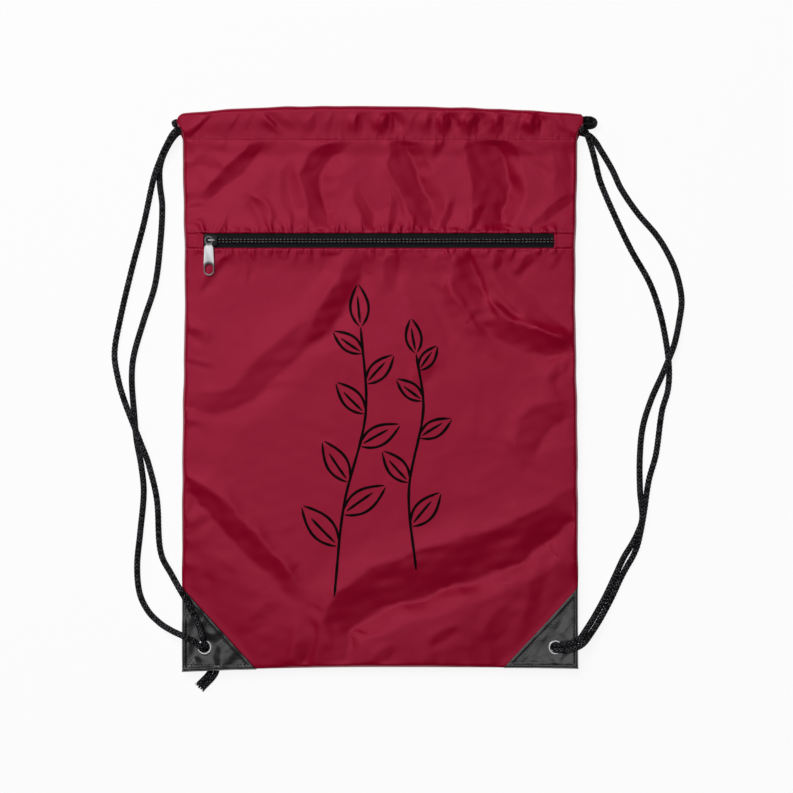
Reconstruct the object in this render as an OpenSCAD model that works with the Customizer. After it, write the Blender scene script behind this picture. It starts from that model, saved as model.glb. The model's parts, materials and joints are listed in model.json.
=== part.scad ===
// Drawstring backpack with a zipped front pocket, lying flat on its back.
// X runs across the bag, Y up to its mouth and Z out of its front.
// The floor is Z = 0, and the origin is the middle of the bag's footprint.

/* [Bag] */
// Width between the side seams
bag_w = 330; // [300:1:370]
// Height from the bottom seam to the top of the mouth's hem
bag_h = 465; // [430:1:520]
// Height of the side and bottom seams above the floor
seam_z = 13; // [12.5:0.5:16]
// Height of the front cloth above the floor
front_z = 20; // [19.5:0.5:24]
// Thickness of the cloth
cloth_t = 0.8; // [0.5:0.1:1]
// Width of the flat seam margin along the sides and the bottom
margin_w = 4; // [2:0.5:5]
// Distance over which the front cloth rises from its margin
front_run = 10; // [6:1:11]
// Distance over which the back cloth drops from its margin
back_run = 22; // [10:1:30]

/* [Mouth hem] */
// Height of the hem that the cords run through
hem_h = 23.5; // [23:0.5:30]
// Thickness of the hem with its cords inside
hem_t = 6.4; // [6.2:0.1:7]
// How far the hem's open ends stand past the side seams
hem_overhang = 3.7; // [0:0.1:5]
// Width of the hem's turned-in edge, below its stitching
hem_tab = 4; // [2:0.5:8]

/* [Zipper] */
// Distance from the bottom seam to the middle of the zipper
zip_rise = 356.5; // [330:0.5:380]
// Length of the zipper that shows
zip_len = 291; // [240:1:296]
// Width of the gap in the front cloth
zip_gap = 12; // [11.4:0.1:16]
// Width of each tape
tape_w = 12; // [9:0.5:16]
// Thickness of the tapes
tape_t = 0.6; // [0.4:0.1:0.8]
// Free space between the two tapes, under the coils
tape_gap = 2.3; // [2.1:0.1:2.6]
// Distance from one coil turn to the next on the same tape
coil_pitch = 1.75; // [1.6:0.05:2.2]
// Width of the closed coils
coil_w = 5; // [4.8:0.1:5.4]
// Height of the coils on the tape
coil_h = 2.2; // [1.8:0.1:2.6]
// How far the heads of one coil reach across the middle
coil_bite = 0.5; // [0.3:0.05:0.6]

/* [Slider and pull] */
// Length of the slider
slider_len = 10.8; // [10:0.1:13]
// Width of the slider at its forked end
slider_w = 10.6; // [10.4:0.1:11]
// Width of the slider at its closed end
slider_tail_w = 8.4; // [8:0.1:9.6]
// Thickness of the slider's two plates
plate_t = 1.1; // [0.8:0.1:1.4]
// Play between the slider and the tapes and coils
slider_play = 0.35; // [0.25:0.05:0.5]
// Radius of the post that parts the two coils
post_r = 0.8; // [0.6:0.05:0.85]
// Radius of the wire of the slider's crown
crown_r = 0.7; // [0.5:0.05:0.9]
// Distance between the crown's two legs
crown_span = 4.8; // [4.8:0.1:5.4]
// Radius of the hole in the pull's eye
eye_r = 2.6; // [2.2:0.1:2.7]
// Width of the ring round the eye
eye_wall = 0.8; // [0.6:0.1:0.9]
// Thickness of the pull
pull_t = 1.3; // [1:0.1:1.6]
// Distance from the eye to the far end of the pull
pull_len = 29; // [22:0.5:36]
// Width of the pull at its neck
pull_neck_w = 7.4; // [6:0.1:8]
// Width of the pull at its far end
pull_end_w = 8.8; // [7.6:0.1:10]
// Downward bend of the pull below its eye, in degrees
pull_bend = 5.5; // [3:0.5:5.5]
// Width of the rim round the pull's end hole
pull_rim = 0.9; // [0.9:0.1:1.6]
// Height of the pull's end hole
pull_hole_h = 9; // [7.8:0.1:10]

/* [Corner patches] */
// Leg of a patch along the bottom seam
patch_w = 62; // [56:1:74]
// Leg of a patch along the side seam
patch_h = 68; // [60:1:80]
// Thickness of the patches
patch_t = 1; // [0.6:0.1:1.2]
// Width of the raised welt along a patch's two legs
welt_w = 3.3; // [2:0.1:4]
// Height of the welt above the patch
welt_t = 0.8; // [0.4:0.1:1]
// Width of the folded edge along a patch's slant
fold_w = 3; // [2:0.1:5]
// Height of the folded edge above the patch
fold_t = 0.5; // [0.3:0.1:0.8]

/* [Eyelets] */
// Distance from the side seam to an eyelet
eyelet_from_side = 18.8; // [17:0.1:22]
// Distance from the bottom seam to an eyelet
eyelet_from_bottom = 18; // [17:0.1:22]
// Radius of an eyelet's hole
eyelet_r = 4.3; // [4.2:0.1:4.8]
// Thickness of an eyelet's barrel
barrel_t = 0.4; // [0.3:0.05:0.5]
// Width of an eyelet's rolled flange past its barrel
flange_w = 1.3; // [1:0.1:1.8]
// Thickness of the washer behind an eyelet
washer_t = 0.7; // [0.5:0.1:0.9]
// Play of the barrel in the holes it passes through
barrel_play = 0.1; // [0.05:0.05:0.3]

/* [Cords] */
// Diameter of the cords
cord_d = 4.9; // [4.7:0.1:4.9]
// Radius of the wraps of the knots, to the middle of the cord
knot_r = 2.5; // [2.3:0.1:2.6]

/* [Hidden] */

LEFT = -1;
RIGHT = 1;
UPPER = 1;
LOWER = -1;
cut = 1; // how far a cutting shape runs past what it cuts
slab_t = 0.01; // thickness of the slabs that a hull spans

// Bag outline
half_w = bag_w / 2;
bottom_y = -bag_h / 2;
top_y = bag_h / 2;
hem_y = top_y - hem_h;
lining_z = seam_z;
front_rim_z = lining_z + cloth_t;
back_rim_z = seam_z - cloth_t;

// Zipper: the tapes lie under the front cloth and carry the coils
zip_y = bottom_y + zip_rise;
zip_x0 = -zip_len / 2 - 1;
zip_x1 = zip_x0 + zip_len;
tape_z = front_z - cloth_t - tape_t;
coil_z = tape_z + tape_t;
tape_end = 3.5; // length of tape under each end strip
coil_root = coil_w / 2 - 0.75;
head_half = coil_pitch / 4 - 0.02;

// Slider: its channel holds both coils and the tapes' inner edges
slider_x = zip_x0 + 0.3 + slider_len / 2;
channel_z0 = tape_z - slider_play;
channel_z1 = coil_z + coil_h + slider_play;
slider_z1 = channel_z1 + plate_t;
flange_t = 0.85;
post_x = slider_x - slider_len / 2 + 2;
pivot_x = slider_x - 1.3;
pull_z = slider_z1 + 0.25;
crown_z = pull_z + pull_t + 0.4 + crown_r;

// Lining: it runs flat, then up to the yoke above the zipper
lining_y = zip_y + zip_gap / 2 + 10;
lining_rise_y = lining_y + 8;
lining_end_y = lining_rise_y + 6;

// Corner stack
patch_front_z = front_rim_z + cloth_t;
patch_back_z = back_rim_z - patch_t;
eyelet_x = half_w - eyelet_from_side;
eyelet_y = bottom_y + eyelet_from_bottom;
barrel_r = eyelet_r + barrel_t;
hole_r = barrel_r + barrel_play;
flange_r = barrel_r + flange_w;
flange_h = 0.75;
washer_z = patch_back_z - washer_t;
curl_t = 0.5;
eyelet_z0 = washer_z - curl_t;
eyelet_z1 = patch_front_z + patch_t;

// Cords
cord_sides = 8;
floor_z = cord_d / 2 + 0.1; // middle of a cord on the floor
over_z = floor_z + cord_d + 0.2; // middle of a cord that lies on another
patch_top_z = patch_front_z + patch_t + welt_t + cord_d / 2 + 0.1; // and on a patch's welt
eyelet_top_z = eyelet_z1 + 1.7; // where a strand turns down into an eyelet
front_lane_z = front_z - hem_t / 2;
back_lane_z = hem_t / 2;
squeeze = 0.83; // share of a cord's thickness left in an eyelet
snug = 0.9; // inside the hems and in a knot
cross_squeeze = 0.45; // and where two cords cross inside the hem
cross_lift = 1.15;
lane_half = cord_d * squeeze / 2 + 0.06; // from an eyelet's middle to each strand
diagonal = lane_half * sqrt(0.5);

// Knots: three wraps, with the cord's two cut ends beyond them
knot_wraps = 3;
knot_z = knot_r + cord_d * snug / 2 + 0.05;

// Rise of the cloth from its margin: [share of the run, share of the rise]
RISE = [[0, 0], [0.2, 0.45], [0.5, 0.82], [1, 1]];

// ---------- helpers ----------

function unit(v) = v / norm(v);
function arc(c, r, a0, a1, n) = [
    for (i = [0:n])
        let (a = a0 + (a1 - a0) * i / n)
        c + r * [cos(a), sin(a)]
];

// Outline of the filled part, d inside the bag's edge, with the corners cut off along the patches
function filled_outline(d, y_end) =
    let (
        k = 1 + d * norm([1 / patch_w, 1 / patch_h]),
        u = patch_w * (k - d / patch_h),
        v = patch_h * (k - d / patch_w)
    )
    [
        [-half_w + u, bottom_y + d], [half_w - u, bottom_y + d],
        [half_w - d, bottom_y + v], [half_w - d, y_end],
        [-half_w + d, y_end], [-half_w + d, bottom_y + v]
    ];

// A soft-edged solid that rises or drops from z0 to z1
module bulge(d, run, z0, z1, y_end) {
    hull() {
        for (step = RISE) {
            translate([0, 0, z0 + (z1 - z0) * step[1] - (z1 > z0 ? slab_t : 0)])
                linear_extrude(slab_t)
                    polygon(filled_outline(d + run * step[0], y_end));
        }
    }
}

// The flat cloth of the seam margins and corners
module rim(z, y_end) {
    translate([-half_w, bottom_y, z])
        cube([bag_w, y_end - bottom_y, cloth_t]);
}

module eyelet_holes() {
    for (side = [LEFT, RIGHT]) {
        translate([side * eyelet_x, eyelet_y, eyelet_z0])
            cylinder(h = eyelet_z1 - eyelet_z0 + cut, r = hole_r, $fn = 48);
    }
}

// Everything between two heights in Y
module y_band(y0, y1, x0 = -bag_w, x1 = bag_w) {
    translate([x0, y0, -cut])
        cube([x1 - x0, y1 - y0, 3 * front_z]);
}

// ---------- cloth ----------

module front_cloth() {
    difference() {
        union() {
            rim(front_rim_z, hem_y);
            bulge(margin_w, front_run, front_rim_z + cloth_t, front_z, hem_y);
        }
        bulge(margin_w + cloth_t, front_run, front_rim_z, front_z - cloth_t, hem_y + cut);
        eyelet_holes();
    }
}

module front_panel() {
    color("#8b1c33")
        intersection() {
            front_cloth();
            y_band(bottom_y - cut, zip_y - zip_gap / 2);
        }
}

module yoke_panel() {
    color("#962a40")
        intersection() {
            front_cloth();
            y_band(zip_y + zip_gap / 2, hem_y + cut);
        }
}

// The strip of cloth that covers one end of the zipper
module zipper_end(side) {
    color("#8b1c33")
        intersection() {
            front_cloth();
            y_band(
                zip_y - zip_gap / 2, zip_y + zip_gap / 2,
                side == LEFT ? -bag_w : zip_x1, side == LEFT ? zip_x0 : bag_w
            );
        }
}

module back_panel() {
    color("#7c1a2e")
        difference() {
            union() {
                rim(back_rim_z, hem_y);
                bulge(margin_w, back_run, back_rim_z, 0, hem_y);
            }
            bulge(margin_w + cloth_t, back_run, seam_z, cloth_t, hem_y + cut);
            eyelet_holes();
        }
}

module pocket_lining() {
    riser = [
        [lining_y - cloth_t, lining_z], [lining_y, lining_z],
        [lining_rise_y, tape_z - 0.2], [lining_end_y, tape_z - 0.2],
        [lining_end_y, tape_z + tape_t], [lining_rise_y - cloth_t, tape_z + tape_t],
        [lining_y - cloth_t, lining_z + cloth_t]
    ];
    color("#4a4446") {
        difference() {
            union() {
                rim(lining_z, lining_y);
                intersection() {
                    rotate([90, 0, 90])
                        linear_extrude(bag_w, center = true)
                            polygon(riser);
                    bulge(margin_w + cloth_t, front_run, front_rim_z - cloth_t, front_z - cloth_t, hem_y);
                }
            }
            eyelet_holes();
        }
    }
}

// Section of a hem: cloth folded over at the mouth, and turned in and stitched down at 0.
// The first number runs to the mouth, the second in from the bag's outside.
function hem_outside() = concat(
    [[0, 0]],
    arc([hem_h - hem_t / 2, hem_t / 2], hem_t / 2, -90, 90, 12),
    [[3.2, hem_t], [0, 2 * cloth_t]]
);
function hem_inside() = concat(
    [[1.5, cloth_t]],
    arc([hem_h - hem_t / 2, hem_t / 2], hem_t / 2 - cloth_t, -90, 90, 12),
    [[4.1, hem_t - cloth_t]]
);

// The turned-in edge lies on the flat of a panel whose cloth rises over the given run
module hem(run) {
    flat_w = bag_w - 2 * (margin_w + cloth_t + run);
    rotate([90, 0, 90])
        linear_extrude(bag_w + 2 * hem_overhang, center = true)
            difference() {
                polygon(hem_outside());
                polygon(hem_inside());
            }
    translate([-flat_w / 2, -hem_tab, cloth_t])
        cube([flat_w, hem_tab, cloth_t]);
}

module front_hem() {
    color("#962a40")
        translate([0, hem_y, front_z])
            mirror([0, 0, 1])
                hem(front_run);
}

module back_hem() {
    color("#7c1a2e")
        translate([0, hem_y, 0])
            hem(back_run);
}

// ---------- zipper ----------

module zipper_tape(side) {
    y0 = side == UPPER ? zip_y + tape_gap / 2 : zip_y - tape_gap / 2 - tape_w;
    color("#1c1c1f")
        translate([zip_x0 - tape_end, y0, tape_z])
            cube([zip_len + 2 * tape_end, tape_w, tape_t]);
}

// How far each coil is pushed aside at x, on its way round the slider's post
spread_max = coil_bite + post_r + 0.3;
spread_x0 = post_x + post_r + 0.8;
spread_x1 = spread_x0 + 4;
function spread(x) =
    let (s = min(1, max(0, (x - spread_x0) / (spread_x1 - spread_x0))))
    spread_max * (1 - s * s * (3 - 2 * s));

// One coil as a comb: each turn is a tooth whose head locks between two of the other coil's
module zipper_coil(side) {
    phase = side == UPPER ? 0.25 : 0.75;
    teeth = floor((zip_len - 0.4) / coil_pitch - 1);
    start_x = zip_x0 + 0.2;
    end_x = start_x + (teeth + 1) * coil_pitch;
    tooth = [
        [-head_half + 0.1, coil_root], [-head_half, 0.3], [-head_half + 0.15, -coil_bite],
        [head_half - 0.15, -coil_bite], [head_half, 0.3], [head_half - 0.1, coil_root]
    ];
    heads = [
        for (i = [0:teeth], p = tooth)
            let (x = start_x + (i + phase) * coil_pitch)
            [x + p[0], p[1] + spread(x)]
    ];
    spine_x = concat([end_x], [for (i = [6:-1:0]) start_x + (spread_x1 - start_x) * i / 6]);
    spine = [for (x = spine_x) [x, coil_w / 2 + spread(x)]];
    ends = [[end_x, coil_root]];
    first = [[start_x, coil_root + spread(start_x)]];
    color("#26262a")
        translate([0, zip_y, coil_z])
            mirror([0, side == UPPER ? 0 : 1, 0])
                linear_extrude(coil_h)
                    polygon(concat(heads, ends, spine, first));
}

// Plan of the slider's plates: a forked end with two rounded lobes, and a narrower closed end
function slider_plan(shrink = 0) =
    let (w0 = slider_w / 2 - shrink, w1 = slider_tail_w / 2 - shrink, l = slider_len / 2, r = 1.6)
    concat(
        arc([-l + r, w0 - r], r, 180, 90, 5),
        arc([l - r, w1 - r], r, 90, 0, 5),
        arc([l - r, -w1 + r], r, 0, -90, 5),
        arc([-l + r, -w0 + r], r, -90, -180, 5),
        arc([-l, 0], r, -90, 90, 6)
    );

module zipper_slider() {
    color("#202024")
        translate([slider_x, zip_y, 0]) {
            translate([0, 0, channel_z0 - plate_t])
                linear_extrude(plate_t)
                    polygon(slider_plan(0.3));
            translate([0, 0, channel_z1])
                linear_extrude(plate_t)
                    polygon(slider_plan());
            for (side = [UPPER, LOWER]) {
                translate([0, 0, coil_z + slider_play])
                    linear_extrude(channel_z1 - coil_z - slider_play)
                        slider_flange(side);
            }
            translate([post_x - slider_x, 0, channel_z0])
                cylinder(h = channel_z1 - channel_z0, r = post_r, $fn = 32);
        }
}

// Plan of one side flange, which keeps a coil in the channel
module slider_flange(side) {
    w0 = slider_w / 2;
    w1 = slider_tail_w / 2;
    l = slider_len / 2 - 1.6;
    polygon([[-l, side * w0], [l, side * w1], [l, side * (w1 - flange_t)], [-l, side * (w0 - flange_t)]]);
}

// The crown: a bent wire whose front leg is the pin that the pull turns on
module slider_crown() {
    bend_r = 1.2;
    leg_h = crown_z - slider_z1 - bend_r;
    color("silver")
        translate([pivot_x, zip_y, slider_z1]) {
            for (x = [0, crown_span]) {
                translate([x, 0, 0])
                    cylinder(h = leg_h, r = crown_r, $fn = 32);
            }
            translate([bend_r, 0, crown_z - slider_z1])
                rotate([0, 90, 0])
                    cylinder(h = crown_span - 2 * bend_r, r = crown_r, $fn = 32);
            translate([bend_r, 0, leg_h])
                rotate([90, 0, 0])
                    rotate([0, 0, 90])
                        rotate_extrude(angle = 90, $fn = 64)
                            translate([bend_r, 0])
                                circle(r = crown_r, $fn = 32);
            translate([crown_span - bend_r, 0, leg_h])
                rotate([90, 0, 0])
                    rotate_extrude(angle = 90, $fn = 64)
                        translate([bend_r, 0])
                            circle(r = crown_r, $fn = 32);
        }
}

// The pull: an eye, a neck and a flat tab that bends down and ends in a large hole
module zipper_pull() {
    eye_out = eye_r + eye_wall;
    bend_y = -eye_out - 0.6;
    end_r = pull_end_w / 2;
    hole_half = end_r - pull_rim;
    hole_y0 = -pull_len + pull_rim + hole_half;
    hole_y1 = hole_y0 + pull_hole_h - 2 * hole_half;
    color("#d8d8da")
        translate([pivot_x, zip_y, pull_z]) {
            linear_extrude(pull_t)
                difference() {
                    union() {
                        circle(r = eye_out, $fn = 64);
                        translate([-2.4, bend_y - 0.2])
                            square([4.8, eye_out - eye_r + 2]);
                    }
                    circle(r = eye_r, $fn = 64);
                }
            translate([0, bend_y, 0])
                rotate([pull_bend, 0, 0])
                    translate([0, -bend_y, 0])
                        linear_extrude(pull_t)
                            difference() {
                                union() {
                                    polygon([
                                        [-2.4, bend_y], [-pull_neck_w / 2, bend_y - 1.6],
                                        [-end_r, -pull_len + end_r], [end_r, -pull_len + end_r],
                                        [pull_neck_w / 2, bend_y - 1.6], [2.4, bend_y]
                                    ]);
                                    translate([0, -pull_len + end_r])
                                        circle(r = end_r, $fn = 64);
                                }
                                for (y = [hole_y0, hole_y1]) {
                                    translate([0, y])
                                        circle(r = hole_half, $fn = 48);
                                }
                                translate([-hole_half, hole_y0])
                                    square([2 * hole_half, hole_y1 - hole_y0]);
                            }
        }
}

// ---------- corner patches and eyelets ----------

// A patch seen from outside, with its right angle at the bag's corner and its legs along +X and +Y
module patch_shape(raised) {
    difference() {
        union() {
            linear_extrude(patch_t)
                polygon([[0, 0], [patch_w, 0], [0, patch_h]]);
            if (raised) {
                translate([0, 0, patch_t])
                    linear_extrude(welt_t)
                        intersection() {
                            polygon([[0, 0], [patch_w, 0], [0, patch_h]]);
                            union() {
                                square([patch_w, welt_w]);
                                square([welt_w, patch_h]);
                            }
                        }
                translate([0, 0, patch_t])
                    linear_extrude(fold_t)
                        slant_strip();
            }
        }
        translate([eyelet_from_side, eyelet_from_bottom, -cut])
            cylinder(h = patch_t + 2 * cut, r = hole_r, $fn = 48);
    }
}

// The folded edge along a patch's slant, clear of the welts
module slant_strip() {
    k = 1 - fold_w * norm([1 / patch_w, 1 / patch_h]);
    difference() {
        polygon([[0, 0], [patch_w, 0], [0, patch_h]]);
        polygon([[0, 0], [k * patch_w, 0], [0, k * patch_h]]);
        square([patch_w, welt_w]);
        square([welt_w, patch_h]);
    }
}

module front_patch(side) {
    color("#3a3b3c")
        translate([side * half_w, bottom_y, patch_front_z])
            mirror([side == RIGHT ? 1 : 0, 0, 0])
                patch_shape(true);
}

module back_patch(side) {
    color("#2c2c2e")
        translate([side * half_w, bottom_y, patch_back_z])
            mirror([side == RIGHT ? 1 : 0, 0, 0])
                patch_shape(false);
}

// Barrel with a rolled flange on the front and a curl that holds the washer behind
module eyelet(side) {
    flange_mid = (eyelet_r + flange_r) / 2;
    flange_half = (flange_r - eyelet_r) / 2;
    outline = concat(
        [[eyelet_r, eyelet_z0], [barrel_r + 0.8, eyelet_z0]],
        [[barrel_r + 0.8, washer_z], [barrel_r, washer_z], [barrel_r, eyelet_z1], [flange_r, eyelet_z1]],
        [
            for (a = [0:15:180])
                [flange_mid + flange_half * cos(a), eyelet_z1 + 0.1 + (flange_h - 0.1) * sin(a)]
        ]
    );
    color("silver")
        translate([side * eyelet_x, eyelet_y, 0])
            rotate_extrude($fn = 64)
                polygon(outline);
}

module eyelet_washer(side) {
    color("silver")
        translate([side * eyelet_x, eyelet_y, washer_z])
            difference() {
                cylinder(h = washer_t, r = flange_r + 0.5, $fn = 64);
                translate([0, 0, -cut])
                    cylinder(h = washer_t + 2 * cut, r = hole_r, $fn = 64);
            }
}

// ---------- cords ----------

// A route's points are [x, y, z, share of the cord's thickness].
// Each cord runs from its knot up through the eyelet, along its first strand to the front hem,
// through it, round at the far end, back through the back hem and down its second strand.

LEFT_FIRST = [
    [-eyelet_x + diagonal, eyelet_y + diagonal, 8.6, squeeze],
    [-eyelet_x + diagonal, eyelet_y + diagonal, eyelet_top_z, squeeze],
    [-147.5, -206.5, 20.4, snug],
    [-151, -195, patch_top_z, 1], [-160, -177, patch_top_z + 0.5, 1], [-167, -165, patch_top_z, 1],
    [-174.5, -153, 12, 1], [-182, -141, 5, 1], [-185, -128, floor_z, 1],
    [-187, -92, floor_z, 1], [-194, -62, floor_z, 1], [-199.5, -46, over_z, 1],
    [-208.5, -23, over_z, 1], [-214.5, -8, 4, 1], [-219, 7, floor_z, 1],
    [-222.5, 30, floor_z, 1], [-218, 58, floor_z, 1], [-208, 101, floor_z, 1],
    [-198, 139, floor_z, 1], [-191, 171, 4, 1], [-188.2, 180.5, 6.9, 1], [-184.5, 190, 9, 1],
    [-179, 202, 12, 1]
];

LEFT_SECOND = [
    [-180, 200, 2.7, 1],
    [-184.5, 186, floor_z, 1], [-184.5, 172, floor_z, 1], [-182.5, 154, floor_z, 1],
    [-184, 124, floor_z, 1], [-188.5, 88, floor_z, 1], [-198, 58, floor_z, 1],
    [-206.5, 28, floor_z, 1], [-208, 8, floor_z, 1], [-206, -20, floor_z, 1],
    [-204, -42, floor_z, 1], [-200, -64, floor_z, 1], [-198, -86, floor_z, 1],
    [-201, -120, floor_z, 1], [-203.5, -147, floor_z, 1], [-201.5, -170, floor_z, 1],
    [-194.5, -185, 3, 1], [-184, -195, 7.5, 1], [-174, -200.5, 14, 1],
    [-165.5, -204, patch_top_z, 1], [-154.5, -209.5, 20.6, snug],
    [-eyelet_x - diagonal, eyelet_y - diagonal, eyelet_top_z, squeeze],
    [-eyelet_x - diagonal, eyelet_y - diagonal, 8.6, squeeze]
];

RIGHT_FIRST = [
    [eyelet_x, eyelet_y - lane_half, 8.6, squeeze],
    [eyelet_x, eyelet_y - lane_half, eyelet_top_z, squeeze],
    [157, -216.3, 20.6, snug],
    [168, -212, patch_top_z, 1], [176.1, -203.1, 12.8, 1], [184.5, -190.9, 7, 1],
    [193.9, -174, 3.2, 1], [201.9, -157, floor_z, 1], [207, -147.5, floor_z, 1],
    [211.9, -139, floor_z, 1], [216, -128.5, floor_z, 1], [220.5, -106, floor_z, 1],
    [225, -76, floor_z, 1], [231, -54, floor_z, 1], [236, -18, floor_z, 1],
    [241, 0, floor_z, 1], [242, 18, floor_z, 1], [239.5, 40, floor_z, 1],
    [234, 66, floor_z, 1], [225.5, 90, floor_z, 1], [210, 117.5, floor_z, 1],
    [195, 149, floor_z, 1], [184.5, 174, floor_z, 1], [180.5, 188.5, 5.5, 1],
    [177.5, 199, 9, 1], [174.5, 207.5, 13, 1]
];

RIGHT_SECOND = [
    [175.5, 212.6, 2.8, 1], [180.5, 207.5, floor_z, 1], [184.5, 201, floor_z, 1],
    [190, 192, floor_z, 1], [195, 183, floor_z, 1], [202, 168, floor_z, 1],
    [216, 147.5, floor_z, 1], [231, 130, floor_z, 1], [240, 116, floor_z, 1],
    [248, 98, floor_z, 1], [252.5, 76, floor_z, 1], [250.5, 58, 3.6, 1],
    [246, 38.5, over_z, 1], [241, 25, over_z, 1], [236, 13, over_z, 1],
    [227, -8, 3.8, 1], [220, -31, floor_z, 1], [217.5, -56, floor_z, 1],
    [217.5, -84, 4.4, 1], [219, -108, over_z, 1], [214.5, -121.5, 6.7, 1],
    [210.3, -129.8, 4.7, 1], [204, -140.5, floor_z, 1], [197.3, -154.8, floor_z, 1],
    [189.3, -171.7, 3.2, 1], [180, -188.1, 7, 1], [171.9, -199.9, 12.8, 1],
    [165.3, -207.5, patch_top_z + 0.3, 1], [155.4, -211.2, 20.6, snug],
    [eyelet_x, eyelet_y + lane_half, eyelet_top_z, squeeze],
    [eyelet_x, eyelet_y + lane_half, 8.6, squeeze]
];

// Places inside the hems
hem_end_x = half_w + hem_overhang;
low_y = hem_y + 7.4;
high_y = hem_y + 15;
cross_x = 60;
cross_half = 14;

// One run through a hem from y0 at x0 to y1 at x1, squeezed flat where it crosses the other cord
function hem_run(x0, y0, x1, y1, z, lift, at_x) =
    let (way = sign(x1 - x0))
    [
        [x0, y0, z, snug],
        [at_x - way * (cross_half + 12), y0, z, snug],
        [at_x - way * cross_half, y0, z + lift, cross_squeeze],
        [at_x + way * cross_half, y1, z + lift, cross_squeeze],
        [at_x + way * (cross_half + 12), y1, z, snug],
        [x1, y1, z, snug]
    ];

// The bight of the left cord at the right end of the hem
RIGHT_BIGHT = [
    [hem_end_x + 1, high_y + 1, front_lane_z, snug], [175.5, 225.2, 15.4, 1], [179.2, 223.6, 11.6, 1],
    [179.2, 221.8, 7.6, 1], [175.5, 220.2, 4.2, 1], [hem_end_x + 1, high_y - 4, back_lane_z, snug]
];

// The bight of the right cord at the left end, pulled close to the hem
LEFT_BIGHT = [
    [-hem_end_x - 0.4, high_y - 1, front_lane_z, snug], [-hem_end_x - 2.4, 222.6, 15.2, snug],
    [-hem_end_x - 2.9, 222, 10, snug],
    [-hem_end_x - 2.4, 221.4, 4.8, snug], [-hem_end_x - 0.4, high_y - 3, back_lane_z, snug]
];

LEFT_ROUTE = concat(
    LEFT_FIRST,
    [[-hem_end_x - 1.5, low_y - 1, front_lane_z, 1]],
    hem_run(-hem_end_x + 6, low_y, hem_end_x - 4, high_y, front_lane_z, cross_lift, cross_x),
    RIGHT_BIGHT,
    hem_run(hem_end_x - 4, high_y - 3.6, -hem_end_x + 6, low_y - 0.8, back_lane_z, -cross_lift, -cross_x),
    [[-hem_end_x - 1.5, low_y - 1.8, back_lane_z, 1]],
    LEFT_SECOND
);

RIGHT_ROUTE = concat(
    RIGHT_FIRST,
    [[hem_end_x + 1.5, low_y - 0.8, front_lane_z, 1]],
    hem_run(hem_end_x - 6, low_y, -hem_end_x + 4, high_y - 1, front_lane_z, -cross_lift, cross_x),
    LEFT_BIGHT,
    hem_run(-hem_end_x + 4, high_y - 3, hem_end_x - 6, low_y - 0.8, back_lane_z, cross_lift, -cross_x),
    [[hem_end_x + 1.5, low_y - 1.8, back_lane_z, 1]],
    RIGHT_SECOND
);

function spot(p) = [p[0], p[1], p[2]];
function heading(route, i) = unit(spot(route[min(i + 1, len(route) - 1)]) - spot(route[max(i - 1, 0)]));
function squared_to(v, t) = unit(v - t * (v * t));

// A tube along a route; each ring's first direction is carried on from the last ring's
module swept_cord(route, start) {
    n = len(route);
    across = [
        for (i = 0, s = squared_to(start, heading(route, 0)); i < n; i = i + 1,
            s = squared_to(s, heading(route, min(i, n - 1)))) s
    ];
    rings = [
        for (i = [0:n - 1])
            let (up = cross(heading(route, i), across[i]))
            for (k = [0:cord_sides - 1])
                let (a = 360 * (k + 0.5) / cord_sides)
                spot(route[i]) + cord_d / 2 * route[i][3] * (cos(a) * across[i] + sin(a) * up)
    ];
    sides = [
        for (i = [0:n - 2], k = [0:cord_sides - 1])
            let (a = i * cord_sides + k, b = i * cord_sides + (k + 1) % cord_sides)
            [a, a + cord_sides, b + cord_sides, b]
    ];
    first = [for (k = [0:cord_sides - 1]) k];
    last = [for (k = [cord_sides - 1:-1:0]) (n - 1) * cord_sides + k];
    polyhedron(points = rings, faces = concat(sides, [first, last]));
}

module cord(route) {
    color("#1d1d1f")
        swept_cord(route, [1, 0, 0]);
}

// A knot with its wraps round an axis that points at angle a, and the two cut ends beyond it
module knot(side, a, tails) {
    color("#1d1d1f") {
        translate([side * eyelet_x, eyelet_y, knot_z])
            rotate([0, 90, a])
                for (i = [0:knot_wraps - 1]) {
                    translate([0, 0, (i - (knot_wraps - 1) / 2) * cord_d * snug * 0.98])
                        rotate_extrude($fn = 48)
                            wrap_section();
                }
        for (route = tails) {
            swept_cord(route, [0, 0, 1]);
        }
    }
}

// Half section of one wrap: round outside and closed to the axis of the knot
module wrap_section() {
    translate([knot_r, 0])
        circle(r = cord_d * snug / 2, $fn = 24);
    translate([0, -cord_d * snug / 2])
        square([knot_r, cord_d * snug]);
}

LEFT_TAILS = [
    [
        [-145.4, -220, 4.4, snug], [-141.5, -228, floor_z, snug],
        [-142.4, -236, floor_z, snug], [-152.3, -247, floor_z, snug]
    ],
    [
        [-141.2, -218, 4.4, snug], [-136.9, -227.4, floor_z, snug],
        [-137.8, -237.6, floor_z, snug], [-148.8, -250.2, floor_z, snug]
    ]
];
RIGHT_TAILS = [
    [[141.6, -210.8, 4.6, snug], [139, -205.5, floor_z, snug], [136.5, -201, floor_z, snug]],
    [[145.6, -208.6, 4.6, snug], [143.4, -203.3, floor_z, snug], [140.8, -198.6, floor_z, snug]]
];

// ---------- nodes ----------

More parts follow.
